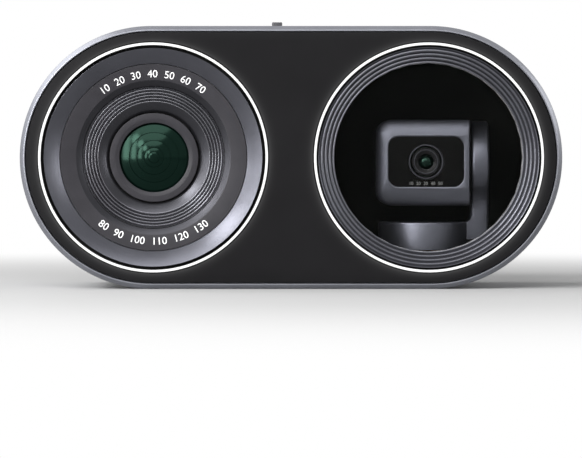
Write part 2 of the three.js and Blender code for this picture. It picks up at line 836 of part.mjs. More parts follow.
function makeChamber() {
  const half = Math.asin(chamberFloorShare);
  const well = arc(0, 0, chamberInner, -half, Math.PI + half, largeSteps);
  const outline = circle(0, 0, chamberRadius, largeSteps);
  const walls = prism("y", outline, chamberFrontY, chamberBackY - chamberWall / 2, { holes: [well] });
  const back = prism("y", outline, chamberBackY - chamberWall, chamberBackY);
  const hole = rod("z", floorHole, -chamberRadius - cutPast, chamberFloorZ + cutPast, smallSteps);
  place(tele, "gimbal_chamber", cut(join(walls, back), hole.translate([0, panY, 0])), "black");
}

// Places up the pan axis, measured from the tilt axis
const baseFlange = 2;
const drumClearance = 0.6;
const drumTopWall = 1.5;
const drumWall = 1.6;
const drumEdge = 0.4;
const chamberFloorLocal = chamberFloorZ + gimbalDrop;
const baseLow = chamberFloorLocal + seam;
const baseTop = baseLow + baseFlange;
const drumLow = baseTop + drumClearance;
const drumTop = -drumDrop;
const drumCeiling = drumTop - drumTopWall;

// Sizes that both gimbal motors share
const shaftRadius = 1.5;
const bearingInner = shaftRadius + seam;
const bearingRadius = 3.2;
const bearingLength = 1.8;
const hubBore = bearingRadius + seam;
const hubWall = 1;
const hubRadius = hubBore + hubWall;
const statorTeeth = 9;
const toothLip = 0.9;
const toothNeckShare = 0.2; // half width of a tooth's neck, as a share of the tooth pitch
const toothTipShare = 0.4; // half width of a tooth's tip, as a share of the tooth pitch
const statorCore = hubRadius + seam + hubWall;

// A wound core seen along its axis: a ring with T-shaped teeth
function stator(axis, tip, low, high) {
  const pitch = (2 * Math.PI) / statorTeeth;
  const at = (radius, turn) => new THREE.Vector2(radius * Math.cos(turn), radius * Math.sin(turn));
  const outline = Array.from({ length: statorTeeth }, (_, i) => {
    const middle = i * pitch;
    const [neck, wide] = [toothNeckShare * pitch, toothTipShare * pitch];
    return [
      at(statorCore, middle - neck),
      at(tip - toothLip, middle - neck),
      at(tip - toothLip, middle - wide),
      at(tip, middle - wide),
      at(tip, middle + wide),
      at(tip - toothLip, middle + wide),
      at(tip - toothLip, middle + neck),
      at(statorCore, middle + neck),
    ];
  }).flat();
  return prism(axis, outline, low, high, { holes: [circle(0, 0, hubRadius + seam, smallSteps)] });
}

// Pan base: a flange on the chamber floor with a hub that holds two bearings and the pan stator
const baseRadius = drumRadius - drumWall;
const magnetThickness = 1.3;
const airGap = 0.6;
const hubShoulder = 0.6; // how far the bore narrows between the bearings
const magnetOuter = drumRadius - drumWall - seam;
const magnetInner = magnetOuter - magnetThickness;
const hubTop = drumCeiling - drumClearance;

function makePanBase() {
  const lowSeat = baseLow + seam + bearingLength + seam;
  const topSeat = hubTop - seam - bearingLength - seam;
  const base = turned(
    "z",
    [
      [hubBore, baseLow],
      [baseRadius, baseLow],
      [baseRadius, baseTop],
      [hubRadius, baseTop],
      [hubRadius, hubTop],
      [hubBore, hubTop],
      [hubBore, topSeat],
      [hubBore - hubShoulder, topSeat],
      [hubBore - hubShoulder, lowSeat],
      [hubBore, lowSeat],
    ],
    mediumSteps,
  );
  place(gimbal, "pan_base", base, "metal");
  const lower = tube("z", bearingInner, bearingRadius, baseLow + seam, lowSeat - seam, smallSteps);
  place(gimbal, "pan_bearing_lower", lower, "steel");
  const upper = tube("z", bearingInner, bearingRadius, topSeat + seam, hubTop - seam, smallSteps);
  place(gimbal, "pan_bearing_upper", upper, "steel");
  const core = stator("z", magnetInner - airGap, baseTop + seam, hubTop - drumClearance);
  place(gimbal, "pan_stator", core, "copper");
}

// Yoke: the drum over the pan motor and the arm beside the camera, in one casting
const armRound = 0.9;
const neckHalf = 6.6;
const neckDrop = 14;
const footHalf = 8;
const footHeight = 5.2; // how far the arm reaches down past the top of the drum
const armSpread = (50 * Math.PI) / 180; // how far below level the arm's disc runs on each side
const crookRadius = 1.8;
const armWeb = 1.4;
const armCoverThickness = 0.8;
const armRim = 2.6; // arm left round the cover of its motor
const armCoverRadius = armRadius - armRim;
const coverLedge = 0.4;
const motorPocket = armCoverRadius - coverLedge;
const pocketFloorX = armInner + armWeb;
const coverInnerX = armOuter - armCoverThickness;
const coverSeatX = coverInnerX - seam;
const rotorDisc = 0.6;
const rotorRadius = motorPocket - airGap;
const rotorBackX = coverSeatX - seam;
const rotorDiscX = rotorBackX - rotorDisc;
const tiltHubX = rotorDiscX - seam;

function makeYoke() {
  const footLow = drumTop - footHeight;
  const armOutline = [
    ...arc(0, 0, armRadius, -armSpread, Math.PI + armSpread, largeSteps / 2),
    new THREE.Vector2(-neckHalf, -neckDrop),
    new THREE.Vector2(-footHalf, drumTop),
    new THREE.Vector2(-footHalf, footLow),
    new THREE.Vector2(footHalf, footLow),
    new THREE.Vector2(footHalf, drumTop),
    new THREE.Vector2(neckHalf, -neckDrop),
  ];
  const arm = prism("x", armOutline, armInner, armOuter, { round: armRound });
  const drum = turned(
    "z",
    [
      [0, drumLow],
      [drumRadius, drumLow],
      [drumRadius, drumTop - drumEdge],
      [drumRadius - drumEdge, drumTop],
      [0, drumTop],
    ],
    largeSteps,
  );
  const linkFromX = armInner / 2;
  const linkToX = armInner + armWidth / 2;
  const linkOutline = rectangle((linkFromX + linkToX) / 2, 0, linkToX - linkFromX, 2 * footHalf);
  const link = prism("z", linkOutline, footLow, drumTop);
  const crookCentre = [armInner - crookRadius, drumTop + crookRadius];
  const crook = prism(
    "y",
    [
      ...arc(...crookCentre, crookRadius, -Math.PI / 2, 0, 3),
      new THREE.Vector2(linkToX, crookCentre[1]),
      new THREE.Vector2(linkToX, drumTop - drumEdge),
      new THREE.Vector2(crookCentre[0], drumTop - drumEdge),
    ],
    -neckHalf,
    neckHalf,
  );
  const outside = join(drum, link, arm, crook);
  const hollow = rod("z", drumRadius - drumWall, drumLow - cutPast, drumCeiling, largeSteps);
  const pocket = rod("x", motorPocket, pocketFloorX, armOuter + cutPast, largeSteps);
  const coverSeat = rod("x", armCoverRadius + seam, coverSeatX, armOuter + cutPast, largeSteps);
  const hub = rod("x", hubRadius, pocketFloorX - armWeb / 2, tiltHubX, mediumSteps);
  const bore = rod("x", hubBore, armInner - cutPast, armOuter + cutPast, smallSteps);
  const yoke = cut(join(cut(outside, hollow, pocket, coverSeat), hub), bore);
  place(gimbal, "yoke", yoke, "gimbal");
  place(gimbal, "arm_cover", rod("x", armCoverRadius, coverInnerX, armOuter, mediumSteps), "gimbal");
}

function makePanRotor() {
  const rotor = tube("z", magnetInner, magnetOuter, drumLow, drumCeiling - seam, mediumSteps);
  place(gimbal, "pan_rotor", rotor, "steel");
  const shaft = rod("z", shaftRadius, baseLow + seam, drumCeiling - seam, smallSteps);
  place(gimbal, "pan_shaft", shaft, "steel");
}

// Tilt motor in the arm: the stator and bearing stay with the yoke, and the bell and shaft turn the camera
const shaftFlangeRadius = 4.6;
const shaftFlange = 1.2;

function makeTiltMotor() {
  const bearing = tube("x", bearingInner, bearingRadius, armInner, armInner + bearingLength, smallSteps);
  place(gimbal, "tilt_bearing", bearing, "steel");
  const tip = rotorRadius - magnetThickness - airGap;
  place(gimbal, "tilt_stator", stator("x", tip, pocketFloorX + seam, tiltHubX), "copper");
  const bell = turned(
    "x",
    [
      [bearingInner, rotorDiscX],
      [rotorRadius - magnetThickness, rotorDiscX],
      [rotorRadius - magnetThickness, pocketFloorX + seam],
      [rotorRadius, pocketFloorX + seam],
      [rotorRadius, rotorBackX],
      [bearingInner, rotorBackX],
    ],
    mediumSteps,
  );
  place(gimbal, "tilt_rotor", bell, "steel");
  const flangeX = headRight - headWall - seam;
  const shaft = turned(
    "x",
    [
      [0, flangeX - shaftFlange],
      [shaftFlangeRadius, flangeX - shaftFlange],
      [shaftFlangeRadius, flangeX],
      [shaftRadius, flangeX],
      [shaftRadius, rotorBackX],
      [0, rotorBackX],
    ],
    smallSteps,
  );
  place(gimbal, "tilt_shaft", shaft, "steel");
}

// Tilting camera: two shells, a black face with a round opening, and a focusing lens inside
const headGap = 0.4; // from the camera to the arm
const headRight = armInner - headGap;
const headLeft = 15.3;
const headHeight = 26.2;
const headFront = 13.6;
const headBack = 12.6;
const headWall = 1.4;
const headFrontWall = 2.4;
const headCorner = 4.6;
const headRound = 3.4;
const headSplit = 3.4;
const faceWidth = 23;
const faceHeight = 15.3;
const faceCorner = 3.2;
const faceThickness = 0.8;
const bezelRadius = 5.25;
const bezelWall = 0.5;
const bezelLength = 2.2;
const headWidth = headLeft + headRight;
const headX = (headRight - headLeft) / 2;
const lensOffset = [lensShift, 0, lensRise];

function makeHeadShells() {
  const outline = roundedRectangle(headX, 0, headWidth, headHeight, headCorner, 3);
  const outer = prism("y", outline, -headFront, headBack, { round: headRound, roundSteps: 3 });
  const innerOutline = roundedRectangle(
    headX,
    0,
    headWidth - 2 * headWall,
    headHeight - 2 * headWall,
    headCorner - headWall,
    2,
  );
  const inner = prism("y", innerOutline, headFrontWall - headFront, headBack - headWall, { round: headWall });
  const shell = cut(outer, inner);
  const block = rectangle(headX, 0, 2 * headWidth, 2 * headHeight);
  const frontCut = prism("y", block, headSplit - seam / 2, 2 * headBack);
  const rearCut = prism("y", block, -2 * headFront, headSplit + seam / 2);
  const facePocket = prism(
    "y",
    roundedRectangle(lensShift, lensRise, faceWidth + 2 * seam, faceHeight + 2 * seam, faceCorner + seam, 3),
    -headFront - cutPast,
    faceThickness + seam - headFront,
  );
  const lensHole = rod("y", bezelRadius + seam, -headFront - cutPast, 0, mediumSteps).translate(lensOffset);
  const shaftHole = rod("x", bearingInner, 0, armInner + cutPast, smallSteps);
  place(gimbal, "head_front_shell", cut(shell, frontCut, facePocket, lensHole, shaftHole), "gimbal");
  place(gimbal, "head_rear_shell", cut(shell, rearCut), "gimbal");
  const face = prism(
    "y",
    roundedRectangle(lensShift, lensRise, faceWidth, faceHeight, faceCorner, 3),
    -headFront,
    faceThickness - headFront,
    { holes: [circle(lensShift, lensRise, bezelRadius + seam, mediumSteps)] },
  );
  place(gimbal, "head_face_glass", face, "panel");
  const bezelBackY = bezelLength - headFront;
  const bezel = tube("y", bezelRadius - bezelWall, bezelRadius, -headFront, bezelBackY, mediumSteps);
  place(gimbal, "tele_lens_bezel", bezel.translate(lensOffset), "metal");
}

const focusTravel = 0.4;
const focusMargin = 0.2; // left in front of the barrel when it is run right out
const barrelPlay = 0.45; // round the barrel inside the bezel
const teleBarrelRadius = bezelRadius - bezelWall - barrelPlay;
const teleBarrelBore = 3.6;
const teleBarrelSetback = focusTravel + focusMargin;
const teleBarrelLength = 7.4;
const teleLensSeat = 2.3;
const teleShoulder = 0.8;
const teleLensRim = 0.3;
const teleLensSag = 0.7;
const teleLensEdge = 1.1;
const actuatorSize = 13;
const actuatorCorner = 1.6;
const actuatorLength = 6;
const teleBoardSize = 17;
const teleSensorSize = 5.8;
const teleSensorHeight = 0.5;

function makeTeleOptics() {
  const frontY = teleBarrelSetback - headFront;
  const backY = frontY + teleBarrelLength;
  const barrel = turned(
    "y",
    [
      [teleBarrelBore, frontY],
      [teleBarrelRadius, frontY],
      [teleBarrelRadius, backY],
      [teleBarrelBore - teleShoulder, backY],
      [teleBarrelBore - teleShoulder, frontY + teleLensSeat],
      [teleBarrelBore, frontY + teleLensSeat],
    ],
    mediumSteps,
  );
  place(gimbal, "tele_barrel", barrel.translate(lensOffset), "dark");
  const rimY = frontY + teleLensSeat - seam - teleLensEdge;
  const frontLens = lens(teleBarrelBore - seam, teleLensRim, rimY, teleLensSag, teleLensEdge, 0);
  place(gimbal, "tele_front_lens", frontLens.translate(lensOffset), "glass");

  const actuatorY = headFrontWall - headFront + seam;
  const bore = circle(0, 0, teleBarrelRadius + seam, mediumSteps);
  const actuator = prism(
    "y",
    roundedRectangle(0, 0, actuatorSize, actuatorSize, actuatorCorner, 2),
    actuatorY,
    actuatorY + actuatorLength,
    { holes: [bore] },
  );
  place(gimbal, "focus_actuator", actuator.translate(lensOffset), "black");
  const boardY = Math.max(actuatorY + actuatorLength, backY + teleSensorHeight) + seam;
  const board = prism("y", rectangle(0, 0, teleBoardSize, teleBoardSize), boardY, boardY + boardThickness);
  const sensor = prism(
    "y",
    rectangle(0, 0, teleSensorSize, teleSensorSize),
    boardY - teleSensorHeight,
    boardY + boardThickness / 2,
  );
  place(gimbal, "tele_sensor_board", join(board, sensor).translate(lensOffset), "board");
}

makeShell();
makePanel();
makeChassis();
makeSwitch();
makeLightRing(wide, "wide");
makeLightRing(tele, "tele");
makeWideFunnel();
makeWideOptics();
makeHeatSink();
makeMainBoard();
makeRearCover();
makeFasteners();
makeWindow();
makeChamber();
makePanBase();
makeYoke();
makePanRotor();
makeTiltMotor();
makeHeadShells();
makeTeleOptics();

export default head;
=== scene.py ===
import math
import bmesh
import bpy
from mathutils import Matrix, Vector


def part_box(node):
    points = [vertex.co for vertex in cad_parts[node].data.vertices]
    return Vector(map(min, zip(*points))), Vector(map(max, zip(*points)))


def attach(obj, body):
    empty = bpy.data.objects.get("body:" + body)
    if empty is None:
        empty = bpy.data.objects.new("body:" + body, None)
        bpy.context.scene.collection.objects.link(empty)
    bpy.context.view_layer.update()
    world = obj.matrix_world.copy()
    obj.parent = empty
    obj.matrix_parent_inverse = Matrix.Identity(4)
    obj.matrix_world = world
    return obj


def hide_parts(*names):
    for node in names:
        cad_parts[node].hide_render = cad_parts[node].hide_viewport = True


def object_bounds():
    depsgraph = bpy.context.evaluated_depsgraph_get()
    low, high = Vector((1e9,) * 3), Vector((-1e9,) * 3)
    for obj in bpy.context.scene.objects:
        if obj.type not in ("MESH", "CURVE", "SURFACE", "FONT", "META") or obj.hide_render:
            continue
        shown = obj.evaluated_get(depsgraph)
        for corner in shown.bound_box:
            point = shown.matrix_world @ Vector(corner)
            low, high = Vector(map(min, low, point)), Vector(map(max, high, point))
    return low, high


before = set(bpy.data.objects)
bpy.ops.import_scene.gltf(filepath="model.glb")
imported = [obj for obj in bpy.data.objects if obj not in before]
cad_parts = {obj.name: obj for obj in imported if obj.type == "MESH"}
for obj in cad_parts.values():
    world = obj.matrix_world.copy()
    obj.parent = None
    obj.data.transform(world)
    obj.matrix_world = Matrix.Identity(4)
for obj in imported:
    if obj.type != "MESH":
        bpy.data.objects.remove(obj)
cad_low, cad_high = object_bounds()


# Outer shell: the sleeve that everything is mounted in, an aluminium extrusion in satin grey paint.
# Both ends are chamfered, a thin lip is left round the front panel and the rear cover, and a slot
# for the mode slider is milled through the crown.
mm = 0.001
quarter = math.pi / 2
half_turn_steps = 96
sharp_angle = math.radians(28)
weld = 2e-7
past = 1.0
seam = 0.3
least_corner = seam / 10


def box_mm(node):
    low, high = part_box(node)
    return low / mm, high / mm


def middle(node):
    low, high = box_mm(node)
    return (low + high) / 2


def tidied(piece):
    """Merges doubles, turns the faces outwards and keeps only real edges sharp."""
    mesh = piece.data
    work = bmesh.new()
    work.from_mesh(mesh)
    bmesh.ops.remove_doubles(work, verts=work.verts, dist=weld)
    bmesh.ops.dissolve_degenerate(work, edges=work.edges, dist=weld)
    bmesh.ops.recalc_face_normals(work, faces=work.faces)
    work.to_mesh(mesh)
    work.free()
    mesh.shade_smooth()
    mesh.set_sharp_from_angle(angle=sharp_angle)
    return piece


def mesh_piece(name, points, faces=()):
    """A piece from points in millimetres."""
    mesh = bpy.data.meshes.new(name)
    mesh.from_pydata([[value * mm for value in point] for point in points], [], faces)
    piece = bpy.data.objects.new(name, mesh)
    bpy.context.scene.collection.objects.link(piece)
    return tidied(piece) if faces else piece


def applied(piece):
    """Turns a piece with live modifiers into a plain mesh."""
    graph = bpy.context.evaluated_depsgraph_get()
    mesh = bpy.data.meshes.new_from_object(piece.evaluated_get(graph))
    piece.modifiers.clear()
    piece.data = mesh
    return piece


def boolean(piece, tools, operation):
    for tool in tools:
        step = piece.modifiers.new(operation.lower(), "BOOLEAN")
        step.operation = operation
        step.solver = "EXACT"
        step.object = tool
    applied(piece)
    for tool in tools:
        bpy.data.objects.remove(tool)
    return tidied(piece)


def carved(piece, *tools):
    return boolean(piece, tools, "DIFFERENCE")


def softened(profile, cut, steps=3):
    """A closed section with its corners rounded by a small cut."""
    made = []
    for i, corner in enumerate(profile):
        here = Vector(corner)
        before = Vector(profile[i - 1]) - here
        after = Vector(profile[(i + 1) % len(profile)]) - here
        start = here + before.normalized() * min(cut, before.length / 3)
        end = here + after.normalized() * min(cut, after.length / 3)
        for k in range(steps + 1):
            t = k / steps
            made.append(start * (1 - t) ** 2 + here * 2 * t * (1 - t) + end * t * t)
    return made


def arc(x, y, radius, start, end, steps):
    turns = [start + (end - start) * i / steps for i in range(steps + 1)]
    return [(x + radius * math.cos(turn), y + radius * math.sin(turn)) for turn in turns]


stands = {
    "x": lambda u, v, along: (along, u, v),
    "y": lambda u, v, along: (u, along, v),
    "z": lambda u, v, along: (u, v, along),
}


def skinned(name, outline, section, stand="y", closed=False):
    """A skin through rows of an outline. The section lists [inset, place along the axis]."""
    rows = [[stands[stand](u, v, along) for u, v in outline(inset)] for inset, along in section]
    count = len(rows[0])
    points = [point for row in rows for point in row]
    faces = []
    for row in range(len(rows) if closed else len(rows) - 1):
        here, there = row * count, (row + 1) % len(rows) * count
        for i in range(count):
            after = (i + 1) % count
            faces.append((here + i, here + after, there + after, there + i))
    if not closed:
        faces.append(tuple(range(count)))
        faces.append(tuple(range(len(points) - count, len(points))))
    return mesh_piece(name, points, faces)


def rounded_rectangle(x, y, width, height, corner, steps=12):
    """An outline that can be drawn in by an inset."""
    def outline(inset):
        radius = max(corner - inset, least_corner)
        dx, dy = width / 2 - inset - radius, height / 2 - inset - radius
        return [
            point
            for i, (cx, cy) in enumerate([(dx, dy), (-dx, dy), (-dx, -dy), (dx, -dy)])
            for point in arc(x + cx, y + cy, radius, i * quarter, (i + 1) * quarter, steps)
        ]
    return outline


shell_low, shell_high = box_mm("outer_shell")
shell_radius = (shell_high.z - shell_low.z) / 2
axis_height = (shell_high.z + shell_low.z) / 2
end_centre = shell_high.x - shell_radius
lip_y, rear_y = shell_low.y, shell_high.y
shell_wall, lip_wall = 2.7, 1.6
lip_chamfer, lip_chamfer_depth = 1.2, 1.5
lip_softness = 0.15
panel_low, panel_high = box_mm("front_panel")
rear_seat_depth = 3.1
rear_seat_y = rear_y - rear_seat_depth
knob_x, knob_y = middle("mode_slider").x, middle("mode_slider").y
knob_length, knob_width, knob_travel = 3.1, 2.0, 2.0
slot_corner = 0.9


def oblong(inset):
    radius = shell_radius - inset
    right = arc(end_centre, axis_height, radius, -quarter, quarter, half_turn_steps)
    left = arc(-end_centre, axis_height, radius, quarter, 3 * quarter, half_turn_steps)
    return right + left


shell_section = [
    (lip_chamfer, lip_y),
    (0, lip_y + lip_chamfer_depth),
    (0, rear_y - lip_chamfer_depth),
    (lip_chamfer, rear_y),
    (lip_wall, rear_y),
    (lip_wall, rear_seat_y),
    (shell_wall, rear_seat_y),
    (shell_wall, panel_high.y + seam),
    (lip_wall, panel_high.y + seam),
    (lip_wall, lip_y),
]
shell = skinned("shell_sleeve", oblong, softened(shell_section, lip_softness), closed=True)
slot_outline = rounded_rectangle(
    knob_x + knob_travel / 2,
    knob_y,
    knob_length + knob_travel + 2 * seam,
    knob_width + 2 * seam,
    slot_corner,
)
slot_depths = [(0, shell_high.z - shell_wall - past), (0, shell_high.z + past)]
carved(shell, skinned("slot_cutter", slot_outline, slot_depths, stand="z"))


def add_node(tree, kind, inputs=None, **settings):
    """A node with its settings, and its inputs linked to a socket or set to a value."""
    made = tree.nodes.new(kind)
    for key, value in settings.items():
        setattr(made, key, value)
    for key, value in (inputs or {}).items():
        if isinstance(value, bpy.types.NodeSocket):
            tree.links.new(value, made.inputs[key])
        else:
            made.inputs[key].default_value = value
    return made


def finish(name, colour, roughness, metallic=0.0, patches=None, relief=None, **sockets):
    """A Principled finish, with patches (size, shade, gloss) and a relief (size, depth) if it has
    them. Sockets of more than one word are given with underscores."""
    material = bpy.data.materials.new(name)
    material.use_nodes = True
    shader = material.node_tree.nodes["Principled BSDF"]
    shader.inputs["Base Color"].default_value = (*colour, 1)
    shader.inputs["Roughness"].default_value = roughness
    shader.inputs["Metallic"].default_value = metallic
    for socket, value in sockets.items():
        shader.inputs[socket.replace("_", " ")].default_value = value
    if patches:
        uneven(material, *patches)
    if relief:
        bumped(material, grain(material.node_tree, relief[0]), relief[1])
    return material


def object_place(tree):
    return add_node(tree, "ShaderNodeTexCoord").outputs["Object"]


def grain(tree, size, detail=2.0):
    """Noise in the object's own coordinates, whose patches are about size millimetres wide."""
    inputs = {"Vector": object_place(tree), "Scale": 1 / (size * mm), "Detail": detail}
    return add_node(tree, "ShaderNodeTexNoise", inputs).outputs["Fac"]


def bumped(material, height, depth):
    """Adds a relief of a depth in millimetres to what the finish has."""
    tree = material.node_tree
    target = tree.nodes["Principled BSDF"].inputs["Normal"]
    inputs = {"Height": height, "Distance": depth * mm}
    if target.is_linked:
        inputs["Normal"] = target.links[0].from_socket
    tree.links.new(add_node(tree, "ShaderNodeBump", inputs).outputs["Normal"], target)
    return material


patch_edges = (0.35, 0.65)


def uneven(material, size, shade, gloss):
    """Varies the colour by a share and the roughness by an amount, in soft patches."""
    tree = material.node_tree
    shader = tree.nodes["Principled BSDF"]
    patches = grain(tree, size, detail=4.0)
    colour = shader.inputs["Base Color"].default_value[:3]
    dark = (*[value * (1 - shade) for value in colour], 1)
    light = (*[min(value * (1 + shade), 1) for value in colour], 1)
    ramp = add_node(tree, "ShaderNodeValToRGB", {"Fac": patches})
    for stop, place, tone in zip(ramp.color_ramp.elements, patch_edges, (dark, light)):
        stop.position, stop.color = place, tone
    tree.links.new(ramp.outputs["Color"], shader.inputs["Base Color"])
    rough = shader.inputs["Roughness"].default_value
    spread = add_node(
        tree,
        "ShaderNodeMapRange",
        {"Value": patches, "To Min": rough - gloss, "To Max": rough + gloss},
    )
    tree.links.new(spread.outputs["Result"], shader.inputs["Roughness"])
    return material


def dress(piece, material):
    piece.data.materials.clear()
    piece.data.materials.append(material)


def mount(piece, material, body, slot, *nodes):
    """Gives a piece its finish, the body that it rides on and the nodes that it stands for."""
    dress(piece, material)
    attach(piece, body)
    if nodes:
        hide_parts(*nodes)
    return piece


shell_paint = finish(
    "satin_grey_shell_paint",
    (0.2, 0.205, 0.23),
    0.34,
    0.75,
    patches=(9, 0.04, 0.015),
    relief=(0.25, 0.004),
)
mount(shell, shell_paint, "housing", "shell_paint", "outer_shell")


# Chassis plate: cast aluminium, screwed to a step inside the shell. It stays as it is in the
# frame, with a dull cast skin.
cast_metal = finish(
    "cast_aluminium", (0.45, 0.45, 0.46), 0.5, 0.9, patches=(3, 0.12, 0.08), relief=(0.6, 0.03)
)


def dress_nodes(material, *names):
    for name in names:
        dress(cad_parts[name], material)


dress_nodes(cast_metal, "chassis_plate")


# Wide lens barrel, with its spacer and aperture stop: turned aluminium, anodised dead black. The
# stop is a funnel of steps that keep stray light out. The barrel slides into the lens mount,
# whose flange sits on the back of the chassis plate and which stays as it is in the frame.
turn_steps = 256
small_turn_steps = turn_steps // 2


def radius_of(node):
    low, high = box_mm(node)
    return (high.x - low.x) / 2


def turned(name, profile, centre, axis="y", steps=turn_steps):
    """A ring or disc turned about an axis through centre, from a closed list of [radius, along].
    A profile that starts and ends on the axis isn't joined across it."""
    solid = profile[0][0] == 0 and profile[-1][0] == 0
    rows = len(profile)
    points = []
    for radius, along in profile:
        for u, v in arc(0, 0, radius, 0, 4 * quarter * (steps - 1) / steps, steps - 1):
            point = Vector(stands[axis](u, v, along))
            points.append(point + Vector(stands[axis](centre[0], centre[1], 0)))
    faces = []
    for row in range(rows - 1 if solid else rows):
        here, there = row * steps, (row + 1) % rows * steps
        for i in range(steps):
            after = (i + 1) % steps
            faces.append((here + i, here + after, there + after, there + i))
    return mesh_piece(name, points, faces)


wide_axis = (middle("wide_light_ring").x, axis_height)
tele_axis = (middle("tele_light_ring").x, axis_height)
barrel_low, barrel_high = box_mm("wide_barrel")
barrel_radius = radius_of("wide_barrel")
barrel_bore, rear_bore, rear_bore_length = 11.2, 6.4, 7.0
edge = 0.12
barrel_section = [
    (barrel_bore, barrel_low.y),
    (barrel_radius, barrel_low.y),
    (barrel_radius, barrel_high.y),
    (rear_bore, barrel_high.y),
    (rear_bore, barrel_high.y - rear_bore_length),
    (barrel_bore, barrel_high.y - rear_bore_length),
]
black_anodised = finish(
    "dead_black_anodised",
    (0.006, 0.006, 0.006),
    0.55,
    patches=(2, 0.2, 0.08),
    relief=(0.15, 0.006),
    Specular_IOR_Level=0.25,
)
barrel = turned("lens_barrel", softened(barrel_section, edge), wide_axis)
mount(barrel, black_anodised, "housing", "black_inside", "wide_barrel")
dress_nodes(black_anodised, "wide_lens_mount")

spacer_low, spacer_high = box_mm("wide_lens_spacer")
spacer_outer, spacer_wall = radius_of("wide_lens_spacer"), 2.2
spacer_inner = spacer_outer - spacer_wall
thread_grooves, thread_depth = 6, 0.18
thread_pitch = (spacer_high.y - spacer_low.y) / (thread_grooves + 1)
spacer_section = [(spacer_outer, spacer_low.y), (spacer_outer, spacer_high.y)]
spacer_section += [(spacer_inner, spacer_high.y)]
for groove in range(thread_grooves, 0, -1):
    groove_y = spacer_low.y + groove * thread_pitch
    spacer_section += [
        (spacer_inner, groove_y + thread_pitch / 3),
        (spacer_inner + thread_depth, groove_y),
    ]
spacer_section += [(spacer_inner, spacer_low.y)]
spacer = turned("lens_spacer", spacer_section, wide_axis)
mount(spacer, black_anodised, "housing", "black_inside", "wide_lens_spacer")

stop_low, stop_high = box_mm("wide_aperture_stop")
stop_hole, stop_plate, stop_softness = 2.6, 0.8, 0.3
stop_steps = [3.2, 4.2, 5.2, 6.2, 7.3]
stop_section = [(spacer_outer, stop_low.y), (spacer_outer, stop_high.y), (stop_hole, stop_high.y)]
stop_section += [(stop_hole, stop_high.y - stop_plate)]
stop_rise = (stop_high.y - stop_plate - stop_low.y) / len(stop_steps)
for step, radius in enumerate(stop_steps):
    stop_section += [
        (radius, stop_high.y - stop_plate - step * stop_rise),
        (radius, stop_high.y - stop_plate - (step + 1) * stop_rise),
    ]
stop = turned("aperture_stop", softened(stop_section, stop_softness, steps=4), wide_axis)
step_paint = finish(
    "satin_black_steps", (0.01, 0.01, 0.01), 0.3, patches=(2, 0.2, 0.05), Specular_IOR_Level=0.5
)
mount(stop, step_paint, "housing", "black_inside", "wide_aperture_stop")


# Wide camera lenses: ground glass with a green anti-reflection coating. The front one is held by
# the retaining ring and hollow behind. Its face is a nest of shallow domes, which give the rings
# of light that the whole group of elements shows from outside.
lens_steps = 24
front_lens_dish, front_lens_seat = 1.2, 1.6
second_lens_rim, second_lens_sag = 2.6, 2.3
rear_lens_rim, rear_lens_sag = 1.0, 1.5
dome_edges = [0, 1.75, 3.0, 5.2, 7.6, 10.4]
dome_tilt, dome_step, dome_points = math.radians(19), 0.22, 12


def lens_face(radius, rim, rim_y, sag):
    """Points from the flat rim of a lens to its centre, which bulges by sag towards the front."""
    shares = [1 - i / lens_steps for i in range(lens_steps + 1)]
    return [(radius, rim_y)] + [((radius - rim) * s, rim_y - sag * (1 - s * s)) for s in shares]


def ground_lens(name, node, centre, rim, sag):
    """A lens with a bulging front and a flat back."""
    low, high = box_mm(node)
    front = lens_face(radius_of(node), rim, low.y + sag, sag)
    back = lens_face(radius_of(node), rim, high.y, 0)
    return turned(name, front[::-1] + back, centre, steps=small_turn_steps)


def domed_lens(name, node, centre, edges, seat, dish):
    """A lens whose front is a nest of round domes, each sunk by a step into the next one. All of
    them reach the same tilt at their edges. Its back is hollowed by dish."""
    low, high = box_mm(node)
    points, along = [], low.y
    for inner, outer in zip(edges, edges[1:]):
        curve = outer / math.sin(dome_tilt)
        depth = math.sqrt(curve ** 2 - inner ** 2)
        for i in range(dome_points + 1):
            radius = inner + (outer - inner) * i / dome_points
            points.append((radius, along + depth - math.sqrt(curve ** 2 - radius ** 2)))
        along = points[-1][1] - dome_step
    points += [(radius_of(node), points[-1][1]), (radius_of(node), high.y - seat)]
    hollow = [edges[-1] * (1 - i / lens_steps) for i in range(lens_steps + 1)]
    points += [(radius, high.y - dish * (1 - (radius / edges[-1]) ** 2)) for radius in hollow]
    return turned(name, points, centre, steps=turn_steps)


def coated_glass(name, colour, tint, roughness, share, index):
    """Glass with a coloured coating. Share is how much of it isn't see-through."""
    return finish(
        name,
        colour,
        roughness,
        patches=(6, 0.1, roughness / 10),
        Alpha=share,
        IOR=index,
        Specular_Tint=(*tint, 1),
    )


lens_black, lens_green = (0.001, 0.004, 0.003), (0.48, 1.0, 0.76)
lens_glass = coated_glass(
    "coated_lens_glass", lens_black, lens_green, roughness=0.13, share=1.0, index=1.24
)
inner_glass = coated_glass(
    "inner_lens_glass", lens_black, lens_green, roughness=0.1, share=0.2, index=1.6
)
front_lens = domed_lens(
    "front_lens", "wide_front_lens", wide_axis, dome_edges, front_lens_seat, front_lens_dish
)
mount(front_lens, lens_glass, "housing", "lens_glass", "wide_front_lens")
second_lens = ground_lens(
    "second_lens", "wide_second_lens", wide_axis, second_lens_rim, second_lens_sag
)
mount(second_lens, inner_glass, "housing", "lens_glass", "wide_second_lens")
rear_lens = ground_lens("rear_lens", "wide_rear_lens", wide_axis, rear_lens_rim, rear_lens_sag)
mount(rear_lens, inner_glass, "housing", "lens_glass", "wide_rear_lens")


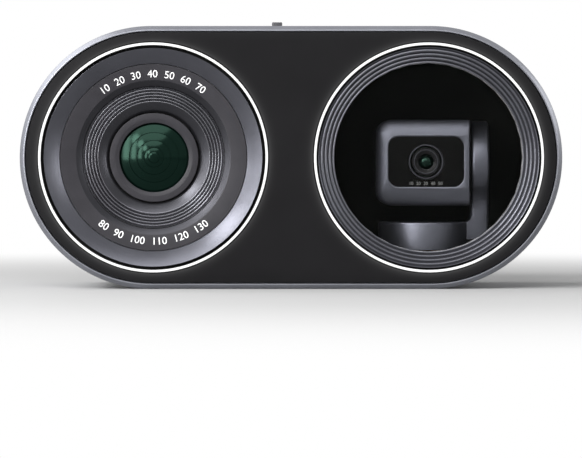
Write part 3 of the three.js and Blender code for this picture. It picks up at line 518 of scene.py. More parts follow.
# Retaining ring: a turned aluminium ring in dark paint, with a bevelled bore and fine tool marks.
# It is screwed into the mouth of the barrel and holds the front lens.
retainer_low, retainer_high = box_mm("wide_lens_retainer")
retainer_radius, retainer_bore, retainer_bevel = radius_of("wide_lens_retainer"), 10.5, 1.2
retainer_section = [
    (retainer_bore + retainer_bevel, retainer_low.y),
    (retainer_radius, retainer_low.y),
    (retainer_radius, retainer_high.y),
    (retainer_bore, retainer_high.y),
    (retainer_bore, retainer_high.y - retainer_bevel),
]
line_pitch = 0.42


def reckon(tree, operation, first, second=0.0):
    return add_node(tree, "ShaderNodeMath", {0: first, 1: second}, operation=operation).outputs[0]


def axis_distance(tree, centre):
    """Metres from an axis that runs along y through centre."""
    inputs = {"Vector": object_place(tree), "Location": (-centre[0] * mm, 0, -centre[1] * mm)}
    place = add_node(tree, "ShaderNodeMapping", inputs).outputs["Vector"]
    parts = add_node(tree, "ShaderNodeSeparateXYZ", {"Vector": place})
    squares = [reckon(tree, "MULTIPLY", parts.outputs[a], parts.outputs[a]) for a in ("X", "Z")]
    return reckon(tree, "SQRT", reckon(tree, "ADD", *squares))


def turned_lines(material, centre, depth):
    """Fine concentric tool marks round an axis that runs along y."""
    tree = material.node_tree
    turns = reckon(tree, "MULTIPLY", axis_distance(tree, centre), 4 * quarter / (line_pitch * mm))
    return bumped(material, reckon(tree, "SINE", turns), depth)


wide_dark_paint = finish(
    "dark_paint_wide_camera",
    (0.024, 0.023, 0.027),
    0.42,
    patches=(5, 0.08, 0.04),
    relief=(0.12, 0.003),
    Specular_IOR_Level=0.2,
)
turned_lines(wide_dark_paint, wide_axis, depth=0.0015)
retainer = turned("lens_retaining_ring", softened(retainer_section, edge), wide_axis)
mount(retainer, wide_dark_paint, "housing", "ring_dark", "wide_lens_retainer")


# Ribbed baffle: a turned aluminium funnel, anodised dark grey. Four ribs step down to a smooth
# throat round the barrel. The same tree turns the ribbed ring of the other window.
def realised(tree, geometry):
    return add_node(tree, "GeometryNodeRealizeInstances", {"Geometry": geometry}).outputs[0]


def new_tree(name, sockets):
    """An empty geometry tree, its inputs and the function that closes it with a result. The names
    of the inputs are given by kind."""
    tree = bpy.data.node_groups.new(name, "GeometryNodeTree")
    tree.interface.new_socket("Geometry", in_out="INPUT", socket_type="NodeSocketGeometry")
    for kind, labels in sockets.items():
        for label in labels:
            tree.interface.new_socket(label, in_out="INPUT", socket_type="NodeSocket" + kind)
    tree.interface.new_socket("Geometry", in_out="OUTPUT", socket_type="NodeSocketGeometry")
    inputs = tree.nodes.new("NodeGroupInput").outputs

    def close(geometry):
        whole = {"Geometry": realised(tree, geometry), "Material": inputs["Finish"]}
        painted = add_node(tree, "GeometryNodeSetMaterial", whole)
        ends = tree.nodes.new("NodeGroupOutput")
        tree.links.new(painted.outputs["Geometry"], ends.inputs[0])

    return tree, inputs, close


def sums(tree, *operations):
    """Short names for the arithmetic of a tree."""
    def short(operation):
        return lambda *terms: reckon(tree, operation, *terms)
    return [short(operation) for operation in operations]


def combined(tree, **parts):
    """A vector from its X, Y and Z, where a part that isn't given is 0."""
    return add_node(tree, "ShaderNodeCombineXYZ", parts).outputs["Vector"]


def welded(tree, geometry):
    inputs = {"Geometry": geometry, "Distance": weld / 2}
    return add_node(tree, "GeometryNodeMergeByDistance", inputs).outputs["Geometry"]


def grown(piece, tree, **values):
    """Runs a geometry tree on a piece and keeps the result as a plain mesh. Lengths are in mm."""
    modifier = piece.modifiers.new(tree.name, "NODES")
    modifier.node_group = tree
    for item in tree.interface.items_tree:
        key = item.name.lower().replace(" ", "_")
        if item.in_out == "INPUT" and key in values:
            value = values[key]
            if item.socket_type == "NodeSocketFloat":
                value = value * mm
            if item.socket_type == "NodeSocketVector":
                value = [part * mm for part in value]
            modifier[item.identifier] = value
    return tidied(applied(piece))


def ribbed_ring_tree():
    """Turns a section whose face is a row of round ribs. The points of the rest of the section,
    each at [radius, along, 0], come from the piece's own mesh."""
    tree, given, close = new_tree("ribbed_ring", {
        "Int": ["Ribs", "Rib Steps", "Turn Steps"],
        "Float": ["Outer Radius", "Front", "Pitch", "Drop", "Groove"],
        "Vector": ["Centre"],
        "Material": ["Finish"],
    })
    add, subtract, multiply, divide = sums(tree, "ADD", "SUBTRACT", "MULTIPLY", "DIVIDE")
    less, whole, cosine, sine = sums(tree, "LESS_THAN", "FLOOR", "COSINE", "SINE")
    size = add_node(tree, "GeometryNodeAttributeDomainSize", {"Geometry": given["Geometry"]})
    ribbed = add(multiply(given["Ribs"], given["Rib Steps"]), 1)
    rows = add(ribbed, size.outputs["Point Count"])
    stations = add(given["Turn Steps"], 1)
    grid = add_node(
        tree, "GeometryNodeMeshGrid", {"Vertices X": add(rows, 1), "Vertices Y": stations}
    ).outputs["Mesh"]
    index = tree.nodes.new("GeometryNodeInputIndex").outputs[0]
    row = whole(divide(add(index, 0.5), stations))
    station = subtract(index, multiply(row, stations))
    row = multiply(row, less(row, subtract(rows, 0.5)))
    ribs_done = divide(row, given["Rib Steps"])
    wave = reckon(tree, "ABSOLUTE", cosine(multiply(ribs_done, 2 * quarter)))
    groove = multiply(subtract(1, wave), given["Groove"])
    rib_point = combined(
        tree,
        X=subtract(given["Outer Radius"], multiply(ribs_done, given["Pitch"])),
        Y=add(add(given["Front"], multiply(ribs_done, given["Drop"])), groove),
    )
    rest_point = add_node(tree, "GeometryNodeSampleIndex", {
        "Geometry": given["Geometry"],
        "Value": tree.nodes.new("GeometryNodeInputPosition").outputs[0],
        "Index": subtract(row, ribbed),
    }, data_type="FLOAT_VECTOR")
    point = add_node(tree, "GeometryNodeSwitch", {
        "Switch": less(row, subtract(ribbed, 0.5)),
        "False": rest_point.outputs["Value"],
        "True": rib_point,
    }, input_type="VECTOR").outputs["Output"]
    parts = add_node(tree, "ShaderNodeSeparateXYZ", {"Vector": point}).outputs
    turn = multiply(divide(station, given["Turn Steps"]), 4 * quarter)
    across, up = multiply(parts["X"], cosine(turn)), multiply(parts["X"], sine(turn))
    place = combined(tree, X=across, Y=parts["Y"], Z=up)
    moved = add_node(tree, "ShaderNodeVectorMath", {0: place, 1: given["Centre"]})
    ring = add_node(
        tree, "GeometryNodeSetPosition", {"Geometry": grid, "Position": moved.outputs[0]}
    ).outputs[0]
    close(welded(tree, ring))
    return tree


ribbed_ring = ribbed_ring_tree()
baffle_low, baffle_high = box_mm("wide_baffle")
baffle_radius = radius_of("wide_baffle")
baffle_ribs, baffle_pitch, baffle_drop, baffle_groove = 5, 0.9, 0.6, 0.5
throat_gap, baffle_fall, baffle_sink = 0.35, 1.2, 0.65
baffle_throat = barrel_radius + throat_gap
rib_steps = 14
ribbed_radius = baffle_radius - baffle_ribs * baffle_pitch
baffle_front = baffle_low.y + baffle_sink
ribbed_y = baffle_front + baffle_ribs * baffle_drop
throat_edge = 0.1
baffle_rest = [
    (baffle_throat + throat_edge, ribbed_y + baffle_fall - throat_edge, 0),
    (baffle_throat, ribbed_y + baffle_fall, 0),
    (baffle_throat, baffle_high.y, 0),
    (baffle_radius, baffle_high.y, 0),
    (baffle_radius, baffle_front + throat_edge, 0),
]


def anodised_at(name, centre, colour, roughness, line_depth=0.002):
    material = finish(name, colour, roughness, 0.9, patches=(7, 0.05, 0.03), relief=(0.15, 0.002))
    return turned_lines(material, centre, line_depth)


baffle_grey, throat_grey = (0.12, 0.12, 0.132), (0.036, 0.036, 0.041)
baffle_lines = 0.0004
baffle_anodised = anodised_at("dark_anodised_baffle", wide_axis, baffle_grey, 0.23, baffle_lines)
throat_anodised = anodised_at("black_anodised_throat", wide_axis, throat_grey, 0.3)
baffle = grown(
    mesh_piece("ribbed_baffle", baffle_rest),
    ribbed_ring,
    ribs=baffle_ribs,
    rib_steps=rib_steps,
    turn_steps=turn_steps,
    outer_radius=baffle_radius,
    front=baffle_front,
    pitch=baffle_pitch,
    drop=baffle_drop,
    groove=baffle_groove,
    centre=(wide_axis[0], 0, wide_axis[1]),
    finish=baffle_anodised,
)
mount(baffle, baffle_anodised, "housing", "ring_metal", "wide_baffle")


def dress_inside(piece, material, centre, radius):
    """Gives the faces nearer to an axis along y than a radius a finish of their own."""
    piece.data.materials.append(material)
    for face in piece.data.polygons:
        x, z = face.center.x / mm - centre[0], face.center.z / mm - centre[1]
        if math.hypot(x, z) < radius:
            face.material_index = len(piece.data.materials) - 1


dress_inside(baffle, throat_anodised, wide_axis, ribbed_radius)


# Marking ring: a turned ring in dark paint, printed in white with plain numbers. It falls slightly
# towards the lens, has a bevelled inner edge, and is clamped between the cone and the baffle.
marking_low, marking_high = box_mm("wide_marking_ring")
marking_outer = radius_of("wide_marking_ring")
marking_inner = baffle_radius + edge
marking_fall, marking_bevel, marking_bevel_fall = 0.8, 1.9, 0.8
marking_softness = 0.2
bevel_grey = (0.028, 0.028, 0.032)
marking_section = [
    (marking_outer, marking_low.y),
    (marking_outer, marking_high.y),
    (marking_inner, marking_high.y),
    (marking_inner, marking_low.y + marking_fall + marking_bevel_fall),
    (marking_inner + marking_bevel, marking_low.y + marking_fall),
]
marking = turned("marking_ring", softened(marking_section, marking_softness), wide_axis)
mount(marking, wide_dark_paint, "housing", "ring_dark", "wide_marking_ring")
bevel_anodised = anodised_at("dark_anodised_bevel", wide_axis, bevel_grey, 0.35)
dress_inside(marking, bevel_anodised, wide_axis, marking_inner + marking_bevel)
print_radius, print_height, print_thickness = 25.2, 2.3, 0.03
cap_share, word_space, letter_steps = 0.73, 1.12, 4


def marking_face_y(radius):
    share = (marking_outer - radius) / (marking_outer - marking_inner - marking_bevel)
    return marking_low.y + marking_fall * share


def printed(name, words, height, place):
    """A thin mesh of words in the built-in face. place() puts a point [u, v, lift] on the piece."""
    curve = bpy.data.curves.new(name, "FONT")
    curve.body = words
    curve.size = height / cap_share * mm
    curve.extrude = print_thickness / 2 * mm
    curve.resolution_u = letter_steps
    curve.space_word = word_space
    written = bpy.data.objects.new(name + "_curve", curve)
    bpy.context.scene.collection.objects.link(written)
    graph = bpy.context.evaluated_depsgraph_get()
    mesh = bpy.data.meshes.new_from_object(written.evaluated_get(graph))
    bpy.data.objects.remove(written)
    spots = [vertex.co / mm for vertex in mesh.vertices]
    middle_u = (min(s.x for s in spots) + max(s.x for s in spots)) / 2
    middle_v = (min(s.y for s in spots) + max(s.y for s in spots)) / 2
    for vertex, spot in zip(mesh.vertices, spots):
        vertex.co = Vector(place(spot.x - middle_u, spot.y - middle_v, spot.z)) * mm
    piece = bpy.data.objects.new(name, mesh)
    bpy.context.scene.collection.objects.link(piece)
    return tidied(piece)


def on_ring(side):
    """Bends a line of print round the ring: side 1 along the top, -1 along the bottom."""
    def place(u, v, lift):
        radius = print_radius + side * v
        turn = u / print_radius
        return (
            wide_axis[0] + radius * math.sin(turn),
            marking_face_y(radius) - print_thickness / 2 - lift,
            wide_axis[1] + side * radius * math.cos(turn),
        )
    return place


print_white = finish("white_print", (0.8, 0.8, 0.8), 0.5, patches=(0.4, 0.06, 0.05))
upper_print = printed("upper_numbers", "10  20  30  40  50  60  70", print_height, on_ring(1))
mount(upper_print, print_white, "housing", "ring_dark")
lower_print = printed("lower_numbers", "80  90  100  110  120  130", print_height, on_ring(-1))
mount(lower_print, print_white, "housing", "ring_dark")


# Front cone: a smooth turned ring inside the light ring, anodised dark grey, pressed into the
# lamp board.
cone_low, cone_high = box_mm("wide_front_cone")
cone_outer = radius_of("wide_front_cone")
cone_inner, cone_depth = marking_outer + edge, 2.6
board_inner = 30.6
dark_grey = (0.072, 0.073, 0.085)
cone_section = [
    (cone_outer, cone_low.y),
    (cone_outer, cone_high.y),
    (board_inner, cone_high.y),
    (cone_inner, (cone_low.y + cone_depth + cone_high.y) / 2),
    (cone_inner, cone_low.y + cone_depth),
]
wide_anodised = anodised_at("dark_anodised_wide_camera", wide_axis, dark_grey, 0.33)
cone = turned("front_cone", softened(cone_section, edge), wide_axis)
mount(cone, wide_anodised, "housing", "ring_metal", "wide_front_cone")


# Light rings: clear light guides with a frosted front and black sides, lit white from behind by
# lamps on ring-shaped boards. They stand just proud of the panel.
light_white = finish(
    "lit_light_guide",
    (0.25, 0.25, 0.25),
    0.4,
    relief=(0.5, 0.02),
    Emission_Color=(1, 1, 1, 1),
    Emission_Strength=0.7,
)
light_ring_width, light_ring_softness = 0.95, 0.25
lit_slope = -0.9


def collar(inner, outer, low, high):
    """The square section of a ring, or of a disc where inner is 0."""
    return [(inner, low), (outer, low), (outer, high), (inner, high)]


for camera_name, axis in (("wide", wide_axis), ("tele", tele_axis)):
    ring_node = camera_name + "_light_ring"
    ring_low, ring_high = box_mm(ring_node)
    ring_outer = radius_of(ring_node)
    ring_section = collar(ring_outer - light_ring_width, ring_outer, ring_low.y, ring_high.y)
    light_ring = turned(
        camera_name + "_light_guide", softened(ring_section, light_ring_softness), axis
    )
    mount(light_ring, light_white, "housing", "light_guide", ring_node)
    light_ring.data.materials.append(black_anodised)
    for face in light_ring.data.polygons:
        face.material_index = 0 if face.normal.y < lit_slope else 1


# Window of the moving camera: a ribbed ring anodised dark grey, a flat coated glass disc with a
# ground edge, and the rubber gasket that it rests on.
window_low, window_high = box_mm("tele_window")
window_radius = radius_of("tele_window")
window_bevel = 0.25
window_section = [
    (0, window_low.y),
    (window_radius - window_bevel, window_low.y),
    (window_radius, window_low.y + window_bevel),
    (window_radius, window_high.y - window_bevel),
    (window_radius - window_bevel, window_high.y),
    (0, window_high.y),
]
window_black, no_tint = (0.01, 0.011, 0.01), (1, 1, 1)
window_glass = coated_glass(
    "coated_window_glass", window_black, no_tint, roughness=0.15, share=0.05, index=1.3
)
window = turned("window_disc", window_section, tele_axis)
mount(window, window_glass, "housing", "window_glass", "tele_window")

rib_ring_low, rib_ring_high = box_mm("tele_rib_ring")
rib_ring_outer = radius_of("tele_rib_ring")
rib_ring_overlap, rib_ring_ribs = 1.5, 4
rib_ring_inner = window_radius - rib_ring_overlap
rib_ring_seat = window_low.y - seam
rib_ring_pitch = (rib_ring_outer - rib_ring_inner) / rib_ring_ribs
rib_ring_drop = (rib_ring_seat - seam - rib_ring_low.y) / rib_ring_ribs
rib_ring_groove = 0.4
rib_ring_rest = [
    (rib_ring_inner, rib_ring_seat, 0),
    (window_radius + seam, rib_ring_seat, 0),
    (window_radius + seam, rib_ring_high.y, 0),
    (rib_ring_outer, rib_ring_high.y, 0),
    (rib_ring_outer, rib_ring_low.y + edge, 0),
]
window_grey = (0.086, 0.087, 0.1)
tele_anodised = anodised_at(
    "dark_anodised_window_ring", tele_axis, window_grey, 0.33, line_depth=0.001
)
rib_ring = grown(
    mesh_piece("window_rib_ring", rib_ring_rest),
    ribbed_ring,
    ribs=rib_ring_ribs,
    rib_steps=rib_steps,
    turn_steps=turn_steps,
    outer_radius=rib_ring_outer,
    front=rib_ring_low.y,
    pitch=rib_ring_pitch,
    drop=rib_ring_drop,
    groove=rib_ring_groove,
    centre=(tele_axis[0], 0, tele_axis[1]),
    finish=tele_anodised,
)
mount(rib_ring, tele_anodised, "housing", "ring_metal", "tele_rib_ring")

gasket_low, gasket_high = box_mm("tele_window_gasket")
gasket_width = 1.4
gasket_section = collar(
    window_radius - gasket_width, window_radius, gasket_low.y, gasket_high.y
)
gasket_rubber = finish(
    "black_gasket_rubber", (0.012, 0.012, 0.012), 0.8, patches=(1.5, 0.15, 0.05), relief=(0.2, 0.01)
)
gasket = turned("window_gasket", softened(gasket_section, edge), tele_axis)
mount(gasket, gasket_rubber, "housing", "gasket_rubber", "tele_window_gasket")


# Gimbal chamber: a moulded cup in dead black behind the window, with a flat floor that the pan
# motor is screwed to. It is screwed to the back of the chassis.
chamber_low, chamber_high = box_mm("gimbal_chamber")
chamber_radius = radius_of("gimbal_chamber")
chamber_wall = 1.5
chamber_floor_share = 0.91
floor_hole = 4.0
base_centre = middle("pan_base")
pan_y = base_centre.y
pan_axis = (tele_axis[0], pan_y)
well_radius = chamber_radius - chamber_wall
chamber_y = (chamber_low.y, chamber_high.y)
floor_turn = math.asin(chamber_floor_share)


def chamber_well(inset):
    radius = well_radius - inset
    return arc(*tele_axis, radius, -floor_turn, 2 * quarter + floor_turn, half_turn_steps)


def rod(name, radius, low, high, centre, axis, steps=half_turn_steps):
    return turned(name, collar(0, radius, low, high), centre, axis, steps)


well_section = [(0, chamber_low.y - past), (0, chamber_high.y - 2 * chamber_wall)]
well_section += [(chamber_wall, chamber_high.y - chamber_wall)]
chamber_black = finish(
    "dead_black_moulding",
    (0.007, 0.0075, 0.0065),
    0.75,
    patches=(4, 0.15, 0.06),
    relief=(0.3, 0.01),
    Specular_IOR_Level=0.15,
)
chamber = carved(
    rod("chamber_cup", chamber_radius, *chamber_y, tele_axis, "y", small_turn_steps),
    skinned("well_cutter", chamber_well, well_section),
    rod("floor_hole_cutter", floor_hole, chamber_low.z - past, base_centre.z, pan_axis, "z"),
)
mount(chamber, chamber_black, "housing", "black_inside", "gimbal_chamber")


# Pan motor: its base, bearings and wound core stay with the chamber; the rotor and shaft are glued
# into the drum of the yoke. Inside the drum the frame's own solids stay.
bright_steel = finish(
    "bright_steel", (0.5, 0.5, 0.51), 0.28, 1.0, patches=(2, 0.06, 0.05), relief=(0.1, 0.002)
)
copper = finish("enamelled_copper", (0.48, 0.19, 0.08), 0.35, 0.9, patches=(0.6, 0.2, 0.08))
base_low, base_high = box_mm("pan_base")
base_radius = radius_of("pan_base")
hub_bore, hub_wall, base_flange = 3.5, 1.0, 2.0
base_section = [
    (hub_bore, base_low.z),
    (base_radius, base_low.z),
    (base_radius, base_low.z + base_flange),
    (hub_bore + hub_wall, base_low.z + base_flange),
    (hub_bore + hub_wall, base_high.z),
    (hub_bore, base_high.z),
]
base_section = softened(base_section, edge)
pan_base = turned("pan_motor_base", base_section, pan_axis, "z", small_turn_steps)
mount(pan_base, cast_metal, "housing", "cast_metal", "pan_base")
dress_nodes(bright_steel, "pan_bearing_lower", "pan_bearing_upper", "pan_rotor", "pan_shaft")
dress_nodes(copper, "pan_stator")


# Yoke: the drum over the pan motor and the arm beside the camera, one aluminium casting in satin
# blue grey. The arm holds the tilt motor in a pocket, and grows out of the drum with a small crook.
yoke_low, yoke_high = box_mm("yoke")
drum_radius = (yoke_high.y - yoke_low.y) / 2
arm_radius, arm_thickness, arm_round = 12.9, 5.4, 0.9
arm_outer = yoke_high.x
arm_inner = arm_outer - arm_thickness
tilt_z = yoke_high.z - arm_radius
tilt_axis = (pan_y, tilt_z)
tilt_height = 18.25
drum_top = tilt_z - tilt_height
drum_edge, drum_wall, drum_top_wall = 0.5, 1.6, 1.5
foot_height = 5.2
arm_spread, neck_curve = math.radians(40), 10.0
crook_radius = 1.8
neck_steps, crook_steps = 16, 10
longest_mitre = 0.3
cover_radius, cover_thickness, cover_ledge = 10.3, 0.8, 0.4
arm_web = 1.4
tilt_hub_radius, tilt_bore = 4.5, 3.5


def fused(piece, *others):
    return boolean(piece, others, "UNION")


def rounded_block(low, high, radius, steps=4):
    """The section of a slab with rounded edges, as a list of [inset, place along]."""
    turns = [quarter * i / steps for i in range(steps + 1)]
    front = [(radius - radius * math.sin(t), low + radius - radius * math.cos(t)) for t in turns]
    back = [(inset, high - (along - low)) for inset, along in reversed(front)]
    return front + back


def drawn(points):
    """An outline from corners in order, which can be drawn in by an inset along its normals."""
    corners = [Vector(point) for point in points]

    def outline(inset):
        made = []
        for i, here in enumerate(corners):
            before = (here - corners[i - 1]).normalized()
            after = (corners[(i + 1) % len(corners)] - here).normalized()
            normals = [Vector((-way.y, way.x)) for way in (before, after)]
            mean = (normals[0] + normals[1]).normalized()
            made.append(tuple(here + mean * inset / max(mean.dot(normals[0]), longest_mitre)))
        return made

    return outline


arm_points = arc(*tilt_axis, arm_radius, -arm_spread, 2 * quarter + arm_spread, half_turn_steps)
neck_half = (arm_radius + neck_curve) * math.cos(arm_spread) - neck_curve
neck_centre_z = tilt_z - (arm_radius + neck_curve) * math.sin(arm_spread)
neck_centre_y = neck_half + neck_curve
arm_points += arc(pan_y - neck_centre_y, neck_centre_z, neck_curve, arm_spread, 0, neck_steps)
arm_points += [
    (pan_y - neck_half, drum_top - foot_height),
    (pan_y + neck_half, drum_top - foot_height),
]
arm_points += arc(
    pan_y + neck_centre_y,
    neck_centre_z,
    neck_curve,
    2 * quarter,
    2 * quarter - arm_spread,
    neck_steps,
)
arm = skinned("arm", drawn(arm_points), rounded_block(arm_inner, arm_outer, arm_round), stand="x")
drum_section = [
    (0, yoke_low.z),
    (drum_radius, yoke_low.z),
    (drum_radius, drum_top - drum_edge),
    (drum_radius - drum_edge / 4, drum_top - drum_edge / 4),
    (drum_radius - drum_edge, drum_top),
    (0, drum_top),
]
yoke = turned("yoke_casting", drum_section, pan_axis, axis="z")
link_x = (tele_axis[0] + (arm_inner - tele_axis[0]) / 2, arm_inner + (arm_outer - arm_inner) / 2)
link_outline = rounded_rectangle(
    sum(link_x) / 2, pan_y, link_x[1] - link_x[0], 2 * neck_half, edge, steps=2
)
link = skinned("link", link_outline, [(0, drum_top - foot_height), (0, drum_top)], stand="z")
crook_centre = (arm_inner - crook_radius, drum_top + crook_radius)
crook_points = arc(*crook_centre, crook_radius, -quarter, 0, crook_steps)
crook_points += [(link_x[1], crook_centre[1]), (link_x[1], drum_top - drum_edge)]
crook_points += [(crook_centre[0], drum_top - drum_edge)]
crook_depths = [(0, pan_y - neck_half), (0, pan_y + neck_half)]
crook = skinned("crook", drawn(crook_points[::-1]), crook_depths)
fused(yoke, arm, link, crook)

pocket_radius = cover_radius - cover_ledge
cover_seat_x = arm_outer - cover_thickness - seam
hub_x = (arm_inner + arm_web / 2, arm_outer - cover_thickness - 4 * seam)
hollow_radius, hollow_top = drum_radius - drum_wall, drum_top - drum_top_wall
carved(
    yoke,
    rod("hollow_cutter", hollow_radius, yoke_low.z - past, hollow_top, pan_axis, "z"),
    rod("pocket_cutter", pocket_radius, arm_inner + arm_web, arm_outer + past, tilt_axis, "x"),
    rod(
        "cover_seat_cutter", cover_radius + seam, cover_seat_x, arm_outer + past, tilt_axis, "x"
    ),
)
fused(yoke, rod("hub", tilt_hub_radius, *hub_x, tilt_axis, "x"))
carved(yoke, rod("bore_cutter", tilt_bore, arm_inner - past, arm_outer + past, tilt_axis, "x"))
gimbal_paint = finish(
    "satin_blue_grey_paint",
    (0.095, 0.098, 0.116),
    0.42,
    0.85,
    patches=(6, 0.05, 0.03),
    relief=(0.12, 0.003),
    Specular_IOR_Level=0.3,
)
mount(yoke, gimbal_paint, "pan_yoke", "gimbal_paint", "yoke")
arm_cover_section = [
    (0, arm_outer - cover_thickness),
    (cover_radius, arm_outer - cover_thickness),
    (cover_radius, arm_outer - edge),
    (cover_radius - edge, arm_outer),
    (0, arm_outer),
]
arm_cover = turned("arm_motor_cover", arm_cover_section, tilt_axis, "x", small_turn_steps)
mount(arm_cover, gimbal_paint, "pan_yoke", "gimbal_paint", "arm_cover")
dress_nodes(bright_steel, "tilt_bearing", "tilt_rotor", "tilt_shaft")
dress_nodes(copper, "tilt_stator")


# Tilting camera: two shells in the same satin paint, joined behind the tilt axis, and hollow. The
# front one has a pocket for the face glass and a round hole for the lens.
head_low, head_high = box_mm("head_front_shell")
rear_low, rear_high = box_mm("head_rear_shell")
head_width, head_height = head_high.x - head_low.x, head_high.z - head_low.z
head_x = (head_high.x + head_low.x) / 2
head_wall, head_front_wall = 1.4, 2.4
head_corner, head_side_corner, head_round, head_round_steps = 4.6, 0.6, 3.4, 10
head_crown, head_crown_depth, crown_start = 4.5, 2.8, math.radians(34)
crown_shares = {"right": 0.12, "top": 1.1, "left": 0.78, "bottom": 1.2, "corner": 0.35}
face_low, face_high = box_mm("head_face_glass")
face_x, face_z = middle("head_face_glass").x, middle("head_face_glass").z
face_corner = 3.2
bezel_radius = radius_of("tele_lens_bezel")
tele_lens_axis = (face_x, face_z)
shaft_hole = 1.8
crown_steps, face_steps = 16, 16


def head_outline(inset):
    """Drawn in more on the three free sides than on the side of the arm, where it stays square."""
    right, top, left, bottom, corner = [inset * share for share in crown_shares.values()]
    low_x, high_x = head_low.x + left, head_high.x - right
    low_z, high_z = head_low.z + bottom, head_high.z - top
    free, square = head_corner - corner, head_side_corner
    corners = [
        (high_x - square, high_z - square, square),
        (low_x + free, high_z - free, free),
        (low_x + free, low_z + free, free),
        (high_x - square, low_z + square, square),
    ]
    return [
        point
        for i, (x, z, radius) in enumerate(corners)
        for point in arc(x, z, radius, i * quarter, (i + 1) * quarter, crown_steps)
    ]


def head_block(name):
    crown_turn = (quarter - crown_start) / crown_steps
    crown = []
    for step in range(crown_steps + 1):
        turn = crown_start + step * crown_turn
        inset = head_crown * (1 - math.sin(turn)) / (1 - math.sin(crown_start))
        fall = head_crown_depth * (1 - math.cos(turn) / math.cos(crown_start))
        crown.append((inset, head_low.y + fall))
    section = rounded_block(head_low.y, rear_high.y, head_round, head_round_steps)
    return skinned(name, head_outline, crown + section[head_round_steps + 1:])


def head_hollow():
    size = [side - 2 * head_wall for side in (head_width, head_height)]
    outline = rounded_rectangle(head_x, tilt_z, *size, head_corner - head_wall)
    depths = rounded_block(head_low.y + head_front_wall, rear_high.y - head_wall, head_wall)
    return skinned("hollow_cutter", outline, depths)


def slab_cutter(low, high):
    outline = rounded_rectangle(head_x, tilt_z, 2 * head_width, 2 * head_height, edge, steps=1)
    return skinned("slab_cutter", outline, [(0, low), (0, high)])


face_size = (face_high.x - face_low.x, face_high.z - face_low.z)
pocket_size = [size + 2 * edge for size in face_size]
pocket_chamfer, pocket_fall = 0.35, 0.12
pocket_outline = rounded_rectangle(face_x, face_z, *pocket_size, face_corner + edge, face_steps)
pocket_depths = [
    (-pocket_chamfer * (1 + past / pocket_fall), face_low.y - past),
    (0, face_low.y + pocket_fall),
    (0, face_high.y + seam),
]
front_shell = carved(
    head_block("camera_front_shell"),
    head_hollow(),
    slab_cutter(head_high.y, rear_high.y + past),
    skinned("face_pocket_cutter", pocket_outline, pocket_depths),
    rod("lens_hole_cutter", bezel_radius + seam, head_low.y - past, pan_y, tele_lens_axis, "y"),
    rod("shaft_hole_cutter", shaft_hole, head_x, head_high.x + past, tilt_axis, "x"),
)
mount(front_shell, gimbal_paint, "tilt_head", "gimbal_paint", "head_front_shell")
rear_shell = carved(
    head_block("camera_rear_shell"), head_hollow(), slab_cutter(head_low.y - past, rear_low.y)
)
mount(rear_shell, gimbal_paint, "tilt_head", "gimbal_paint", "head_rear_shell")


# Face glass: a black glass plate glued into the pocket of the front shell, with plain numbers
# under the lens.
face_outline = rounded_rectangle(face_x, face_z, *face_size, face_corner, face_steps)
face_section = rounded_block(face_low.y, face_high.y, edge)
hole_y = (face_low.y - past, face_high.y + past)
face_glass = carved(
    skinned("camera_face_glass", face_outline, face_section),
    rod("lens_hole_cutter", bezel_radius + seam, *hole_y, tele_lens_axis, "y"),
)
black_glass = finish(
    "black_glass", (0.003, 0.003, 0.003), 0.12, patches=(5, 0.1, 0.02), Specular_IOR_Level=0.05
)
mount(face_glass, black_glass, "tilt_head", "panel_black", "head_face_glass")
face_print_height, face_print_drop = 1.0, 6.6
face_grey = finish("grey_print", (0.16, 0.16, 0.16), 0.5, patches=(0.2, 0.1, 0.05))


def on_face(u, v, lift):
    return (face_x + u, face_low.y - print_thickness / 2 - lift, face_z - face_print_drop + v)


face_print = printed("face_numbers", "10  20  30  40  50", face_print_height, on_face)
mount(face_print, face_grey, "tilt_head", "panel_black")


# Lens of the moving camera: a thin bezel in the face, the black focus barrel that slides in it,
# and in the barrel a bright rim, a black mask and the small coated front lens. The focus actuator
# behind keeps the frame's own solid.
bezel_low, bezel_high = box_mm("tele_lens_bezel")
bezel_wall = 0.35
bezel_section = collar(bezel_radius - bezel_wall, bezel_radius, bezel_low.y, bezel_high.y)
tele_lens_anodised = anodised_at("dark_anodised_moving_lens", tele_lens_axis, dark_grey, 0.33)


def lens_ring(name, section, softness):
    return turned(name, softened(section, softness), tele_lens_axis, steps=small_turn_steps)


bezel = lens_ring("moving_lens_bezel", bezel_section, edge)
mount(bezel, tele_lens_anodised, "tilt_head", "ring_metal", "tele_lens_bezel")
focus_low, focus_high = box_mm("tele_barrel")
focus_radius = radius_of("tele_barrel")
focus_bore, focus_shoulder, focus_seat = 3.6, 0.8, 2.3
focus_section = [
    (focus_bore, focus_low.y),
    (focus_radius, focus_low.y),
    (focus_radius, focus_high.y),
    (focus_bore - focus_shoulder, focus_high.y),
    (focus_bore - focus_shoulder, focus_low.y + focus_seat),
    (focus_bore, focus_low.y + focus_seat),
]
mask_paint = finish(
    "satin_black_mask",
    (0.004, 0.004, 0.0045),
    0.3,
    patches=(1, 0.1, 0.03),
    Specular_IOR_Level=0.12,
)
focus_barrel = lens_ring("focus_barrel", focus_section, edge)
mount(focus_barrel, mask_paint, "focus_group", "ring_dark", "tele_barrel")
moving_lens_low, moving_lens_high = box_mm("tele_front_lens")
moving_lens_radius = radius_of("tele_front_lens")
eye_radius, eye_curve, eye_ring_fall = 2.2, 2.5, 0.25
mask_flat, mask_fall, mask_thickness = 0.24, 0.4, 0.3
mask_section = [
    (focus_bore, focus_low.y + edge),
    (focus_bore, focus_low.y + mask_fall + mask_thickness),
    (eye_radius + edge, focus_low.y + mask_fall + mask_thickness),
    (eye_radius + edge, focus_low.y + mask_fall),
    (focus_bore - mask_flat / 2, focus_low.y + edge),
]
moving_mask = lens_ring("moving_lens_mask", mask_section, edge / 2)
mount(moving_mask, mask_paint, "focus_group", "ring_dark")
